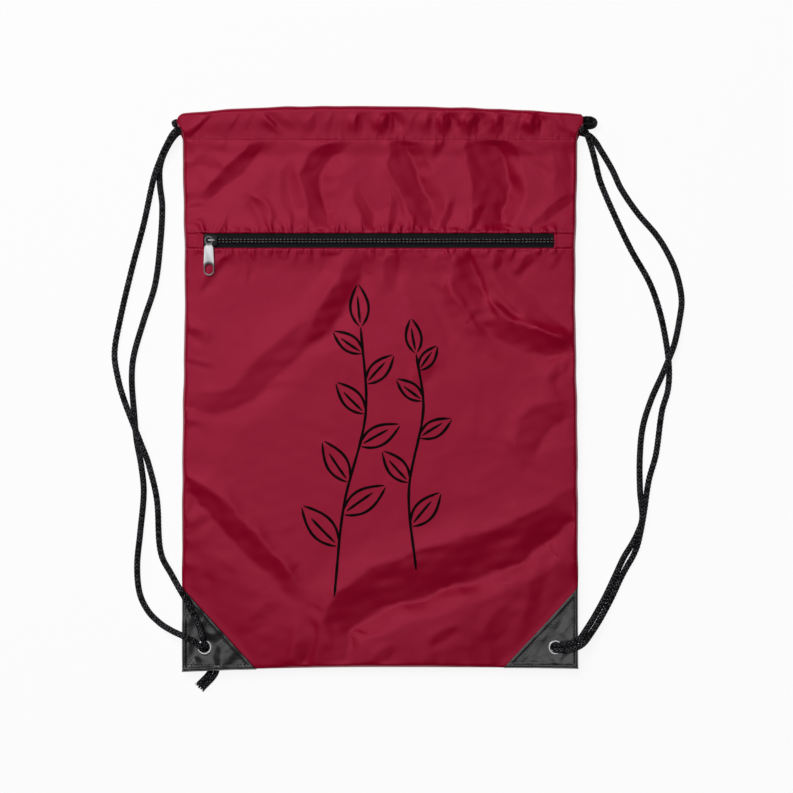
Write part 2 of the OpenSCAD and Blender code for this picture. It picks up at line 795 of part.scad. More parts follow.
back_panel();
yoke_panel();
front_panel();
pocket_lining();
front_hem();
back_hem();
zipper_end(LEFT);  // zipper_end_left
zipper_end(RIGHT);  // zipper_end_right
zipper_tape(UPPER);  // zipper_tape_upper
zipper_tape(LOWER);  // zipper_tape_lower
zipper_coil(UPPER);  // zipper_coil_upper
zipper_coil(LOWER);  // zipper_coil_lower
zipper_slider();
slider_crown();
zipper_pull();
front_patch(LEFT);  // front_patch_left
front_patch(RIGHT);  // front_patch_right
back_patch(LEFT);  // back_patch_left
back_patch(RIGHT);  // back_patch_right
eyelet(LEFT);  // eyelet_left
eyelet(RIGHT);  // eyelet_right
eyelet_washer(LEFT);  // eyelet_washer_left
eyelet_washer(RIGHT);  // eyelet_washer_right
cord(LEFT_ROUTE);  // cord_left
cord(RIGHT_ROUTE);  // cord_right
knot(LEFT, -62, LEFT_TAILS);  // knot_left
knot(RIGHT, 118, RIGHT_TAILS);  // knot_right
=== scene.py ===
"""Cloth, cords, zipper and corner patches of a drawstring backpack that lies flat on its back.

Shapes are worked out in millimetres and built in metres. X runs across the bag, Y up to its mouth
and Z out of its front, with the floor at Z = 0.
"""

import json
import math

import bmesh
import bpy
import numpy as np
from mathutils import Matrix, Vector
from mathutils.bvhtree import BVHTree

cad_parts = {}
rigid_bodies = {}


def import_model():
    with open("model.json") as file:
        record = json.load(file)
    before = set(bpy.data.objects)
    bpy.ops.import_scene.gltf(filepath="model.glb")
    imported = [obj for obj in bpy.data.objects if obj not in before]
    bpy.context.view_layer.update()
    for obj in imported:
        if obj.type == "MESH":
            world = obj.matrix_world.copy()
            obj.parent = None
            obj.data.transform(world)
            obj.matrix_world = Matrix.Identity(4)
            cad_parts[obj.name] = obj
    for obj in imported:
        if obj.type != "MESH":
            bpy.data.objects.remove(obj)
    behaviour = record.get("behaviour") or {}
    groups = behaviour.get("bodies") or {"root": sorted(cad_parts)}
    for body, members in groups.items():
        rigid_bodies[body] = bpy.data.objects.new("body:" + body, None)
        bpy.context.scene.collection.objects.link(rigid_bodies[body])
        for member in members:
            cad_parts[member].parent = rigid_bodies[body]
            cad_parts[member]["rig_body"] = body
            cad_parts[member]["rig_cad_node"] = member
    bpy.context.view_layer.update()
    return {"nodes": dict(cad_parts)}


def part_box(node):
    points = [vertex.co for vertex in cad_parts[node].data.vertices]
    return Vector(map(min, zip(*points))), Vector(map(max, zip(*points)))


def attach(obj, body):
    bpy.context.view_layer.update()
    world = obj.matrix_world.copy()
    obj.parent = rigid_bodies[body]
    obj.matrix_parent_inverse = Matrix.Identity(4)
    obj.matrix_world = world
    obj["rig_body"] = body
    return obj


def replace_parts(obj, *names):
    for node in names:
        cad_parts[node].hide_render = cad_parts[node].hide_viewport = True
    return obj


bl_info = {
    "name": "Drawstring Backpack",
    "version": (1, 0, 0),
    "blender": (4, 5, 0),
    "location": "3D View > Sidebar > Backpack",
    "description": "Builds the cloth, cords, zipper and corner patches of a drawstring backpack",
    "category": "Add Mesh",
}

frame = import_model()
bpy.ops.object.select_all(action="DESELECT")

MM = 0.001
LEFT, RIGHT = -1, 1
SIDES = ((LEFT, "left"), (RIGHT, "right"))


def node_box(node):
    """Lowest and highest corner of a frame node, in mm."""
    low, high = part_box(node)
    return np.array(low) / MM, np.array(high) / MM


# Sizes that the frame gives, in mm
BACK_LOW, BACK_HIGH = node_box("back_panel")
YOKE_LOW, YOKE_HIGH = node_box("yoke_panel")
HEM_LOW, HEM_HIGH = node_box("front_hem")
PATCH_LOW, PATCH_HIGH = node_box("front_patch_left")
BACK_PATCH_LOW, BACK_PATCH_HIGH = node_box("back_patch_left")
PULL_LOW, PULL_HIGH = node_box("zipper_pull")
EYELET_LOW, EYELET_HIGH = node_box("eyelet_right")
HALF_W = BACK_HIGH[0]
BOTTOM_Y = BACK_LOW[1]
STITCH_Y = YOKE_HIGH[1]
TOP_Y = HEM_HIGH[1]
HEM_END_X = HEM_HIGH[0]
BACK_HEM_TOP_Z = node_box("back_hem")[1][2]
LINING_END_Y = node_box("pocket_lining")[1][1]
PLATEAU_Z = YOKE_HIGH[2]
RIM_Z = PATCH_LOW[2]
WINDOW_LOW_Y = node_box("front_panel")[1][1]
WINDOW_HIGH_Y = YOKE_LOW[1]
ZIP_Y = (WINDOW_LOW_Y + WINDOW_HIGH_Y) / 2
ZIP_X0 = node_box("zipper_end_left")[1][0]
ZIP_X1 = node_box("zipper_end_right")[0][0]
TAPE_TOP_Z = node_box("zipper_tape_upper")[1][2]
PATCH_W = PATCH_HIGH[0] - PATCH_LOW[0]
PATCH_H = PATCH_HIGH[1] - PATCH_LOW[1]
EYELET_X, EYELET_Y = (EYELET_LOW + EYELET_HIGH)[:2] / 2
EYELET_R = (EYELET_HIGH[0] - EYELET_LOW[0]) / 2
CORD = 4.9  # diameter that the frame's cords were drawn with


def linear(colour):
    """The linear colour of an sRGB hex value such as 8B1C33."""
    shares = [int(colour[i : i + 2], 16) / 255 for i in (0, 2, 4)]
    return [c / 12.92 if c <= 0.04045 else ((c + 0.055) / 1.055) ** 2.4 for c in shares]


def colour_property(name, description, colour):
    return bpy.props.FloatVectorProperty(
        name=name, description=description, subtype="COLOR", size=3, min=0, max=1, default=linear(colour)
    )


def length_property(name, description, millimetres):
    return bpy.props.FloatProperty(
        name=name, description=description, subtype="DISTANCE", unit="LENGTH", default=millimetres * MM
    )


class BackpackSizes(bpy.types.PropertyGroup):
    cloth: length_property("Cloth", "Thickness of the cloth", 0.45)
    panel_grid: length_property("Panel grid", "Distance between the points of a cloth panel", 2.2)
    fold_scale: bpy.props.FloatProperty(
        name="Folds",
        description="Depth of the folds, as a share of the folds drawn",
        default=1.0,
        min=0,
        max=1.5,
    )
    cord: length_property("Cord", "Diameter of the cords", CORD)
    stitch: length_property("Stitch", "Length of one stitch of the sewing thread", 3.0)
    thread: length_property("Thread", "Thickness of the sewing thread", 0.42)
    ink_line: length_property("Printed line", "Width of the printed lines", 2.3)
    camera_height: length_property("Camera height", "Height of the camera above the floor", 2200)


class BackpackColours(bpy.types.PropertyGroup):
    front: colour_property("Front cloth", "Colour of the front, the yoke and their hem", "880222")
    back: colour_property("Back cloth", "Colour of the back and its hem", "840327")
    lining: colour_property("Lining", "Colour of the lining behind the pocket", "4A0F1C")
    thread: colour_property("Thread", "Colour of the thread in the cloth", "B8405C")
    tape: colour_property("Zipper tape", "Colour of the zipper's tapes", "17171A")
    coil: colour_property("Zipper coils", "Colour of the zipper's coils", "19191A")
    enamel: colour_property("Slider", "Colour of the slider's enamel", "151517")
    nickel: colour_property("Nickel", "Colour of the eyelets, the crown and the pull", "F4F4F6")
    leather: colour_property("Corner patches", "Colour of the coated leather", "1C1C1E")
    cord: colour_property("Cords", "Colour of the cords", "141416")
    ink: colour_property("Ink", "Colour of the printed lines", "0A0406")
    floor: colour_property("Floor", "Colour of the floor", "F4F4F4")


# ---------- finishes ----------

# The coils' painted glints: how far from the zipper's middle their line lies, and half its width, in mm
COIL_GLINT_Y, COIL_GLINT_HALF = 1.05, 0.32
# Centre of the pull's eye and of its end hole, and where the thin rim round each, with its painted
# reflection, begins and ends, in mm
PULL_HOLES = (((-142.1, 124, 23.5), 3.9, 4.8), ((-142.1, 100.8, 22), 4.6, 6.6))


def add(tree, kind, inputs=None, **settings):
    """Adds a shader node with its settings, and sets or links its inputs."""
    node = tree.nodes.new(f"ShaderNode{kind}")
    for name, value in settings.items():
        setattr(node, name, value)
    for name, value in (inputs or {}).items():
        if isinstance(value, bpy.types.NodeSocket):
            tree.links.new(value, node.inputs[name])
        else:
            node.inputs[name].default_value = value
    return node


def empty_tree(owner):
    """The node tree of a material or a world, with nothing in it."""
    owner.use_nodes = True
    owner.node_tree.nodes.clear()
    return owner.node_tree


def maths(tree, operation, *values):
    return add(tree, "Math", dict(enumerate(values)), operation=operation).outputs[0]


def object_place(tree):
    return add(tree, "TexCoord").outputs["Object"]


def noise(tree, place, scale, detail, roughness=0.5):
    """A cloudy pattern, from 0 to 1."""
    inputs = {"Vector": place, "Scale": scale, "Detail": detail, "Roughness": roughness}
    return add(tree, "TexNoise", inputs).outputs["Fac"]


def bands(tree, place, pitch, direction="X", **more):
    """Waves from 0 to 1 that lie pitch apart, in mm."""
    inputs = {"Vector": place, "Scale": math.pi / (10 * pitch * MM), **more}
    return add(tree, "TexWave", inputs, bands_direction=direction).outputs["Fac"]


def ranged(tree, value, low=0, high=1, start=0, end=1, curve="LINEAR"):
    """A value that lies between start and end, spread between low and high."""
    inputs = {"Value": value, "From Min": start, "From Max": end, "To Min": low, "To Max": high}
    return add(tree, "MapRange", inputs, interpolation_type=curve).outputs["Result"]


def mixed(tree, share, low, high):
    """A colour between low and high by share."""
    ramp = add(tree, "ValToRGB", {"Fac": share})
    ramp.color_ramp.elements[0].color = low
    ramp.color_ramp.elements[1].color = high
    return ramp.outputs["Color"]


def shaded(tree, share, rgba, low, high):
    """The colour at low to high times its brightness, by share."""
    ends = [(*[min(1.0, c * times) for c in rgba[:3]], 1.0) for times in (low, high)]
    return mixed(tree, share, *ends)


def bump(tree, height, strength, depth, under=None):
    """A normal tilted by a relief of up to depth in mm, on top of the normal under it."""
    inputs = {"Height": height, "Strength": strength, "Distance": depth * MM}
    if under is not None:
        inputs["Normal"] = under
    return add(tree, "Bump", inputs).outputs[0]


def woven_nylon(tree, rgba):
    """Coated nylon taffeta: a soft sheen, faint threads and a light crumple from having been packed.
    Its threads lie 0.15 mm apart, and are drawn 0.6 mm apart so that they show."""
    place = object_place(tree)
    crumple = noise(tree, place, 75, 3)
    threads = maths(tree, "ADD", bands(tree, place, 0.6), bands(tree, place, 0.6, "Y"))
    return {
        "Base Color": shaded(tree, crumple, rgba, 0.94, 1.06),
        "Roughness": ranged(tree, crumple, 0.3, 0.36),
        "Specular Tint": mixed(tree, crumple, (1, 0.15, 0.28, 1), (1, 0.2, 0.34, 1)),
        "Normal": bump(tree, crumple, 0.12, 0.8, bump(tree, threads, 0.12, 0.05)),
    }


def coated_leather(tree, rgba):
    """Polyurethane-coated leather: small pebbles 0.9 mm across under a smooth, glossy skin."""
    place = object_place(tree)
    pebbles = add(tree, "TexVoronoi", {"Vector": place, "Scale": 1100}, feature="SMOOTH_F1")
    grain = bump(tree, pebbles.outputs["Distance"], 0.25, 0.12)
    # Random blotches make the colour, the roughness and the relief vary together
    blotches = noise(tree, place, 90, 4, 0.6)
    return {
        "Base Color": shaded(tree, blotches, rgba, 0.75, 1.35),
        "Roughness": ranged(tree, blotches, 0.22, 0.42),
        "Normal": bump(tree, blotches, 0.45, 1.2, grain),
    }


def braided_polyester(tree, rgba):
    """Braided polyester: painted highlights on the crowns of the strands, painted shade in the gaps between
    them, and fine filaments.
    The UV map runs round the cord in U, as a share of a turn, and along it in V, in mm."""
    place = add(tree, "TexCoord").outputs["UV"]
    round_and_along = add(tree, "SeparateXYZ", {"Vector": place}).outputs
    strands = []
    for way in (1, -1):
        along = maths(tree, "MULTIPLY", round_and_along["Y"], way / BRAID_PITCH)
        phase = maths(tree, "MULTIPLY_ADD", round_and_along["X"], BRAID_STRANDS, along)
        strands.append(maths(tree, "COSINE", maths(tree, "MULTIPLY", phase, 2 * math.pi)))
    # Painted highlight and shade: the base colour is lighter on the strands' crowns, in patches, and darker
    # in the gaps
    crown = maths(tree, "MULTIPLY", maths(tree, "MAXIMUM", *strands), noise(tree, place, 0.7, 1))
    painted_crown_highlight = ranged(tree, crown, start=0.35, end=0.6, curve="SMOOTHSTEP")
    slanted = add(tree, "Mapping", {"Vector": place, "Scale": (26, 1.6, 1)}).outputs[0]
    filaments = noise(tree, slanted, 2.2, 3)
    return {"Base Color": shaded(tree, painted_crown_highlight, rgba, 0.4, 12), "Normal": bump(tree, filaments, 0.5, 0.2)}


def plated_nickel(tree, rgba):
    """Bright nickel plate on stamped steel: mirror-like, with faint handling marks."""
    marks = noise(tree, object_place(tree), 900, 4, 0.7)
    return {"Roughness": ranged(tree, marks, 0.12, 0.24), "Normal": bump(tree, marks, 0.1, 0.1)}


def polished_pull(tree, rgba):
    """Nickel plate whose thin round rims mirror the cloth below, drawn as a darker tint round both holes."""
    place = object_place(tree)
    bright = []
    for centre, low, high in PULL_HOLES:
        middle = [c * MM for c in centre]
        away = add(tree, "VectorMath", {0: place, 1: middle}, operation="DISTANCE").outputs["Value"]
        bright.append(ranged(tree, away, start=low * MM, end=high * MM, curve="SMOOTHSTEP"))
    tint = shaded(tree, maths(tree, "MINIMUM", *bright), rgba, 0.2, 1)
    return {**plated_nickel(tree, rgba), "Base Color": tint}


def black_enamel(tree, rgba):
    """Baked enamel on a die-cast slider: even and glossy, with a slight orange peel."""
    peel = noise(tree, object_place(tree), 1400, 2)
    return {"Roughness": ranged(tree, peel, 0.22, 0.34), "Normal": bump(tree, peel, 0.15, 0.1)}


def woven_tape(tree, rgba):
    """Woven polyester tape: herringbone ribs 0.8 mm apart, with painted shade between them and a painted
    sheen on their tops.
    """
    herringbone = {"Distortion": 1.5, "Detail": 1, "Detail Scale": 4}
    ribs = bands(tree, object_place(tree), 0.8, "DIAGONAL", **herringbone)
    # Painted shade and sheen: the base colour is darker between the ribs and lighter on their tops
    return {"Base Color": shaded(tree, ribs, rgba, 0.7, 1.5), "Normal": bump(tree, ribs, 0.5, 0.2)}


def nylon_monofilament(tree, rgba):
    """Drawn nylon filament: smooth and shiny, a little cloudy, with painted glints as lighter dots on top of
    some turns.
    """
    place = object_place(tree)
    across = add(tree, "SeparateXYZ", {"Vector": place}).outputs["Y"]
    away = maths(tree, "ABSOLUTE", maths(tree, "SUBTRACT", across, ZIP_Y * MM))
    # Painted highlight: lighter dots on a line along the top of some turns stand in for their glints
    on_glint_line = maths(tree, "COMPARE", away, COIL_GLINT_Y * MM, COIL_GLINT_HALF * MM)
    glinting_turns = ranged(tree, bands(tree, place, 3.0), start=0.4, end=0.7)
    return {
        "Base Color": shaded(tree, maths(tree, "MULTIPLY", on_glint_line, glinting_turns), rgba, 1, 24),
        "Roughness": ranged(tree, noise(tree, place, 700, 2), 0.12, 0.2),
    }


def spun_thread(tree, rgba):
    """Twisted polyester sewing thread: a soft gloss with its twist 0.5 mm long."""
    twist = bands(tree, object_place(tree), 0.5, "DIAGONAL")
    return {"Base Color": shaded(tree, twist, rgba, 0.8, 1.15), "Normal": bump(tree, twist, 0.4, 0.1)}


def screen_ink(tree, rgba):
    """Rubbery screen-print ink: matt, with the cloth's threads showing through."""
    specks = noise(tree, object_place(tree), 1500, 2)
    return {"Base Color": shaded(tree, specks, rgba, 0.7, 1.6), "Normal": bump(tree, specks, 0.3, 0.1)}


# Each kind of piece: the name of its colour, its pattern and more sockets of its shader
FINISHES = {
    "front_cloth": ("front", woven_nylon, {"IOR": 2.0}),
    "back_cloth": ("back", woven_nylon, {"IOR": 2.0}),
    "lining_cloth": ("lining", woven_nylon, {"IOR": 2.0}),
    "zipper_tape": ("tape", woven_tape, {"Roughness": 0.8, "Specular IOR Level": 0.3}),
    "zipper_coil": ("coil", nylon_monofilament, {"IOR": 1.6}),
    "slider_enamel": (
        "enamel",
        black_enamel,
        {"Coat Weight": 0.05, "Coat Roughness": 0.1, "Specular IOR Level": 0.25},
    ),
    "nickel": ("nickel", plated_nickel, {"Metallic": 0.7}),
    "pull_nickel": ("nickel", polished_pull, {"Metallic": 0.5}),
    "patch_leather": ("leather", coated_leather, {"Specular IOR Level": 0.95, "IOR": 1.6}),
    "cord": ("cord", braided_polyester, {"Roughness": 0.7, "Specular IOR Level": 0.2}),
    "thread": ("thread", spun_thread, {"Roughness": 0.6, "Specular IOR Level": 0.25}),
    "black_thread": ("cord", spun_thread, {"Roughness": 0.8, "Specular IOR Level": 0.2}),
    "ink": ("ink", screen_ink, {"Roughness": 0.75, "Specular IOR Level": 0.15}),
}


def finish(kind):
    """The finish of one kind of piece, in the chosen colours."""
    name = f"{kind}_finish"
    if name in bpy.data.materials:
        return bpy.data.materials[name]
    colour, pattern, sockets = FINISHES[kind]
    rgba = (*getattr(bpy.context.scene.backpack_colours, colour), 1.0)
    made = bpy.data.materials.new(name)
    made.diffuse_color = rgba
    tree = empty_tree(made)
    shader = add(tree, "BsdfPrincipled", {"Base Color": rgba, **sockets, **pattern(tree, rgba)})
    add(tree, "OutputMaterial", {"Surface": shader.outputs[0]})
    return made


# ---------- meshes ----------


def new_piece(name, points, faces, kind, body="bag", wall=0, uvs=None, sharp=None):
    """A piece from points in mm that rides on a body, of the finish called kind. A sheet's points lie on
    its outside, and it gets a wall in m behind them."""
    mesh = bpy.data.meshes.new(name)
    faces = faces.tolist() if isinstance(faces, np.ndarray) else faces
    mesh.from_pydata((points * MM).tolist(), [], faces)
    mesh.update()
    piece = bpy.data.objects.new(name, mesh)
    bpy.context.scene.collection.objects.link(piece)
    if uvs is not None:
        mesh.uv_layers.new(name="UVMap").data.foreach_set("uv", np.asarray(uvs, np.float32).ravel())
    if wall:
        modify(piece, "SOLIDIFY", thickness=wall, offset=-1)
    dress(piece, kind, sharp)
    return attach(piece, body)


def dress(piece, kind, sharp=None):
    """Gives a piece its finish and its shading, sharp past an angle in degrees."""
    piece.data.materials.clear()
    piece.data.materials.append(finish(kind))
    if sharp is None:
        piece.data.shade_smooth()
    else:
        make_active(piece)
        bpy.ops.object.shade_smooth_by_angle(angle=math.radians(sharp))


def make_active(piece):
    bpy.ops.object.select_all(action="DESELECT")
    piece.select_set(True)
    bpy.context.view_layer.objects.active = piece


def modify(piece, kind, **settings):
    """Applies one modifier."""
    make_active(piece)
    modifier = piece.modifiers.new(kind.title(), kind)
    for name, value in settings.items():
        setattr(modifier, name, value)
    bpy.ops.object.modifier_apply(modifier=modifier.name)


def grid(xs, ys):
    """Points and quads of a flat grid, facing up."""
    across, along = np.meshgrid(xs, ys)
    points = np.stack([across.ravel(), along.ravel()], axis=1)
    n = len(xs)
    first = (np.arange(len(ys) - 1)[:, None] * n + np.arange(n - 1)[None, :]).ravel()
    return points, np.stack([first, first + 1, first + 1 + n, first + n], axis=1)


def refined(points, faces, near):
    """The flat mesh with its edges halved wherever near(x, y) holds at both ends."""
    made = bmesh.new()
    verts = [made.verts.new((x, y, 0)) for x, y in points]
    for face in faces:
        made.faces.new([verts[i] for i in face])
    inside = near(points[:, 0], points[:, 1])
    made.verts.index_update()
    edges = [e for e in made.edges if inside[e.verts[0].index] and inside[e.verts[1].index]]
    bmesh.ops.subdivide_edges(made, edges=edges, cuts=1, use_grid_fill=True)
    made.verts.index_update()
    flat = np.array([v.co[:2] for v in made.verts])
    cells = [[v.index for v in f.verts] for f in made.faces]
    made.free()
    return flat, cells


def without(points, faces, gone):
    """Drops the faces that touch a point where gone holds, and the points that no face uses."""
    kept = [f for f in faces if not any(gone[i] for i in f)]
    used = sorted({i for f in kept for i in f})
    place = {old: new for new, old in enumerate(used)}
    return points[used], [[place[i] for i in f] for f in kept]


def steps(low, high, pitch):
    """Evenly spaced values from low to high, about pitch apart."""
    return np.linspace(low, high, max(2, round((high - low) / pitch) + 1))


def smoothed(points, per_span=12):
    """A smooth curve through points of any number of values, which doesn't swing out beside long spans."""
    knots = np.asarray(points, float)
    spans = np.maximum(np.linalg.norm(np.diff(knots[:, :3], axis=0), axis=1), 1e-6)[:, None]
    slopes = np.diff(knots, axis=0) / spans
    inner = (knots[2:] - knots[:-2]) / (spans[1:] + spans[:-1])
    ways = np.vstack([slopes[:1], inner, slopes[-1:]])
    t = np.linspace(0, 1, per_span, endpoint=False)[:, None]
    h1, h2, h3 = 2 * t**3 - 3 * t**2 + 1, t**3 - 2 * t**2 + t, t**3 - t**2
    pieces = [
        h1 * knots[i] + h2 * span * ways[i] + (1 - h1) * knots[i + 1] + h3 * span * ways[i + 1]
        for i, span in enumerate(spans)
    ]
    return np.vstack([*pieces, knots[-1:]])


def run_along(line):
    """The line's length up to each of its points, measured on their first three values."""
    return np.concatenate([[0], np.cumsum(np.linalg.norm(np.diff(line[:, :3], axis=0), axis=1))])


def spaced(line, step):
    """The line with its points step apart, and its length up to each of them."""
    line = np.asarray(line, float)
    run = run_along(line)
    at = np.linspace(0, run[-1], max(2, round(run[-1] / step) + 1))
    return np.stack([np.interp(at, run, line[:, i]) for i in range(line.shape[1])], axis=1), at


def frames_along(line):
    """Two directions square to the line at each point, carried along it without twist."""
    ahead = np.gradient(line, axis=0)
    ahead /= np.linalg.norm(ahead, axis=1)[:, None]
    start = np.array([0.0, 0.0, 1.0]) if abs(ahead[0][2]) < 0.9 else np.array([1.0, 0.0, 0.0])
    side = []
    for t in ahead:
        start = start - t * (start @ t)
        start = start / np.linalg.norm(start)
        side.append(start)
    side = np.array(side)
    return side, np.cross(ahead, side)


def tube(line, radius, sides, relief=None):
    """Points, faces and UVs of a tube along a line. relief gives mm to add at an angle and a length."""
    side, up = frames_along(line)
    angles = np.arange(sides) * 2 * math.pi / sides
    run = run_along(line)
    reach = np.broadcast_to(np.asarray(radius, float), (len(line),))[:, None] * np.ones(sides)
    if relief is not None:
        reach = reach + relief(angles[None, :], run[:, None])
    rings = (
        line[:, None, :]
        + reach[..., None] * np.cos(angles)[None, :, None] * side[:, None, :]
        + reach[..., None] * np.sin(angles)[None, :, None] * up[:, None, :]
    )
    i, k = np.meshgrid(np.arange(len(line) - 1), np.arange(sides), indexing="ij")
    a = i * sides + k
    b = i * sides + (k + 1) % sides
    faces = np.stack([a, b, b + sides, a + sides], axis=-1).reshape(-1, 4).tolist()
    last = (len(line) - 1) * sides
    faces += [list(range(sides - 1, -1, -1)), list(range(last, last + sides))]
    u = np.stack([k / sides, (k + 1) / sides, (k + 1) / sides, k / sides], axis=-1)
    v = np.stack([run[i], run[i], run[i + 1], run[i + 1]], axis=-1)
    uvs = np.vstack([np.stack([u, v], axis=-1).reshape(-1, 2), np.zeros((2 * sides, 2))])
    return rings.reshape(-1, 3), faces, uvs


def joined(parts):
    """Several (points, faces, uvs) as one."""
    points, faces, uvs, start = [], [], [], 0
    for p, f, u in parts:
        points.append(p)
        faces += [[i + start for i in face] for face in f]
        uvs.append(u)
        start += len(p)
    return np.vstack(points), faces, np.vstack(uvs)


def tube_piece(name, parts, kind, body="bag"):
    """One piece made of several tubes."""
    points, faces, uvs = joined(parts)
    return new_piece(name, points, faces, kind, body, uvs=uvs)


def rounded_copy(node, name, kind, body, bevel):
    """A copy of a frame node with its doubles merged and its edges rounded by bevel, in mm."""
    piece = frame["nodes"][node].copy()
    piece.data = piece.data.copy()
    piece.name = name
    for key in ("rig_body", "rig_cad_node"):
        del piece[key]
    piece.parent = None
    bpy.context.scene.collection.objects.link(piece)
    make_active(piece)
    bpy.ops.object.mode_set(mode="EDIT")
    bpy.ops.mesh.select_all(action="SELECT")
    bpy.ops.mesh.remove_doubles(threshold=1e-6)
    bpy.ops.mesh.dissolve_limited(angle_limit=math.radians(0.5))
    bpy.ops.object.mode_set(mode="OBJECT")
    modify(piece, "BEVEL", width=bevel * MM, segments=3, limit_method="ANGLE", angle_limit=math.radians(40))
    dress(piece, kind, sharp=35)
    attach(piece, body)
    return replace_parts(piece, node)


# ---------- the shape of the cloth ----------

# Each fold swells over rise, drops to its right-hand side over band and levels out over fall.
# A fold is ([points], band, steepness, rise, fall), with its points from its left or lower end.
YOKE_FOLDS = [
    ([(-152, 157), (-128, 177), (-108, 196), (-95, 214)], 14, 0.2, 16, 13),
    ([(-46, 126), (-53, 150), (-56, 168), (-58, 182), (-49, 194), (-24, 208)], 17, 0.195, 16, 14),
    ([(-67, 137), (-79, 160), (-79, 180), (-73, 192)], 8, 0.14, 8, 8),
    ([(37, 128), (33, 152), (26, 167), (18, 182), (15, 197), (17, 222)], 20, 0.185, 15, 14),
    ([(84, 122), (90, 152), (92, 170), (88, 186), (82, 202), (80, 226)], 31, 0.175, 15, 14),
    ([(44, 190), (50, 206), (54, 224)], 8, 0.15, 8, 8),
    ([(124, 132), (146, 151), (168, 164)], 9, 0.18, 12, 10),
    ([(150, 156), (154, 178), (148, 202)], 18, 0.07, 10, 10),
    ([(106, 204), (124, 193), (145, 180)], 8, 0.11, 9, 9),
    ([(-8, 126), (-13, 150), (-23, 171)], 10, 0.17, 10, 9),
    ([(6, 126), (12, 150), (9, 165)], 8, 0.19, 8, 8),
    ([(50, 126), (56, 146), (62, 160)], 8, 0.18, 8, 8),
    ([(76, 126), (79, 146), (88, 155)], 7, 0.17, 7, 8),
    ([(-108, 163), (-99, 151), (-90, 136)], 8, 0.22, 8, 8),
    ([(-160, 188), (-146, 190), (-128, 184)], 9, 0.1, 10, 10),
    ([(-164, 150), (-150, 154), (-134, 148)], 4, 0.15, 4, 4),
    ([(-168, 145), (-154, 144), (-140, 147)], 3, 0.2, 3.5, 3),
    ([(-168, 138), (-156, 138), (-144, 136)], 3, 0.2, 3.5, 3),
]
PANEL_FOLDS = [
    ([(-152, 80), (-137, 98), (-122, 115)], 7, 0.2, 10, 9),
    (
        [(-178, -2), (-140, -11), (-118, -5), (-98, 14), (-74, 36), (-46, 60), (-30, 84), (-14, 118)],
        22, 0.125, 22, 16,
    ),
    ([(-62, 34), (-46, 56), (-34, 74), (-25, 92), (-20, 116)], 24, 0.11, 14, 14),
    ([(94, 48), (83, 64), (74, 80), (69, 95), (64, 122)], 21, 0.2, 16, 6),
    ([(74, 82), (88, 62), (103, 51), (122, 42), (144, 38), (172, 37)], 23, 0.2, 6, 18),
    ([(172, 34), (158, 42), (144, 52), (127, 66), (111, 83), (99, 98), (92, 120)], 17, 0.115, 6, 15),
    ([(10, 80), (8, 98), (14, 118)], 14, 0.12, 10, 9),
    ([(40, 6), (46, 30), (38, 58), (26, 88)], 24, 0.06, 22, 20),
    ([(52, 84), (50, 100), (56, 118)], 12, 0.12, 9, 9),
    ([(28, 0), (36, 12), (46, 26)], 12, 0.08, 9, 9),
    ([(94, 98), (98, 108), (97, 118)], 7, 0.16, 6, 6),
    ([(112, 92), (120, 103), (128, 116)], 9, 0.17, 7, 7),
    ([(-113, 86), (-109, 100), (-112, 115)], 4.5, 0.15, 5, 5),
    ([(-52, 94), (-47, 104), (-50, 116)], 5, 0.1, 6, 6),
    ([(140, 98), (146, 106), (150, 116)], 6, 0.1, 6, 6),
    ([(120, -60), (124, -40), (134, -24), (162, -14)], 26, 0.11, 16, 14),
    ([(140, 2), (150, 17), (166, 30)], 10, 0.13, 8, 8),
    ([(-164, 48), (-152, 46), (-144, 36)], 8, 0.16, 6, 6),
    ([(-166, 26), (-150, 22), (-136, 18)], 4, 0.2, 5, 5),
    ([(-166, -34), (-156, -28), (-146, -30)], 6, 0.14, 6, 6),
    (
        [(-176, -72), (-150, -84), (-136, -97), (-122, -113), (-108, -128), (-93, -143), (-80, -158),
         (-62, -176)],
        19, 0.22, 16, 16,
    ),
    ([(-166, -120), (-152, -112), (-140, -104)], 10, 0.12, 8, 8),
    ([(-160, -186), (-150, -168), (-146, -148)], 12, 0.1, 10, 10),
    ([(-76, -240), (-64, -212), (-62, -186)], 16, 0.13, 12, 10),
    ([(-118, -206), (-100, -190), (-86, -174)], 12, 0.09, 10, 10),
    (
        [(-42, -240), (-39, -207), (-30, -186), (-12, -171), (12, -161), (42, -151), (72, -141), (99, -132),
         (122, -121), (142, -107), (172, -88)],
        38, 0.182, 22, 18,
    ),
    ([(120, -206), (129, -170), (139, -134)], 12, 0.08, 10, 10),
    ([(88, -214), (98, -196), (112, -180)], 16, 0.06, 12, 12),
    ([(40, -214), (51, -205), (66, -196)], 9, 0.13, 8, 8),
    ([(-8, -238), (2, -224), (14, -214)], 10, 0.1, 8, 8),
    ([(36, -180), (50, -177), (66, -176)], 4, 0.1, 4, 4),
]
SOFT = 0.6  # mm over which a fold's corners are rounded
RIDGE = 0.55  # greatest share of a fold's drop that stands above the cloth round it


def ramp(value):
    """The value held between 0 and 1."""
    return np.clip(value, 0, 1)


def eased(value):
    """Rises from 0 to 1 as the value does, level at both ends."""
    t = ramp(value)
    return t * t * (3 - 2 * t)


def bell(distance, width):
    """1 on a line, and hardly anything beyond twice the width from it."""
    return np.exp(-((distance / width) ** 2))


def fading(distance, reach):
    """1 up to an edge, and fading past it over about reach."""
    return np.exp(-np.maximum(distance, 0) / reach)


def filling(distance, reach, power):
    """Rises from 0 at an edge to 1 at reach from it, steeply at first."""
    return 1 - (1 - ramp(distance / reach)) ** power


def above_zero(value, softness):
    """The value where it is above zero and nearly zero below, with a soft turn between the two."""
    t = value / softness
    return softness * np.where(t > 20, t, np.log1p(np.exp(np.minimum(t, 20))))


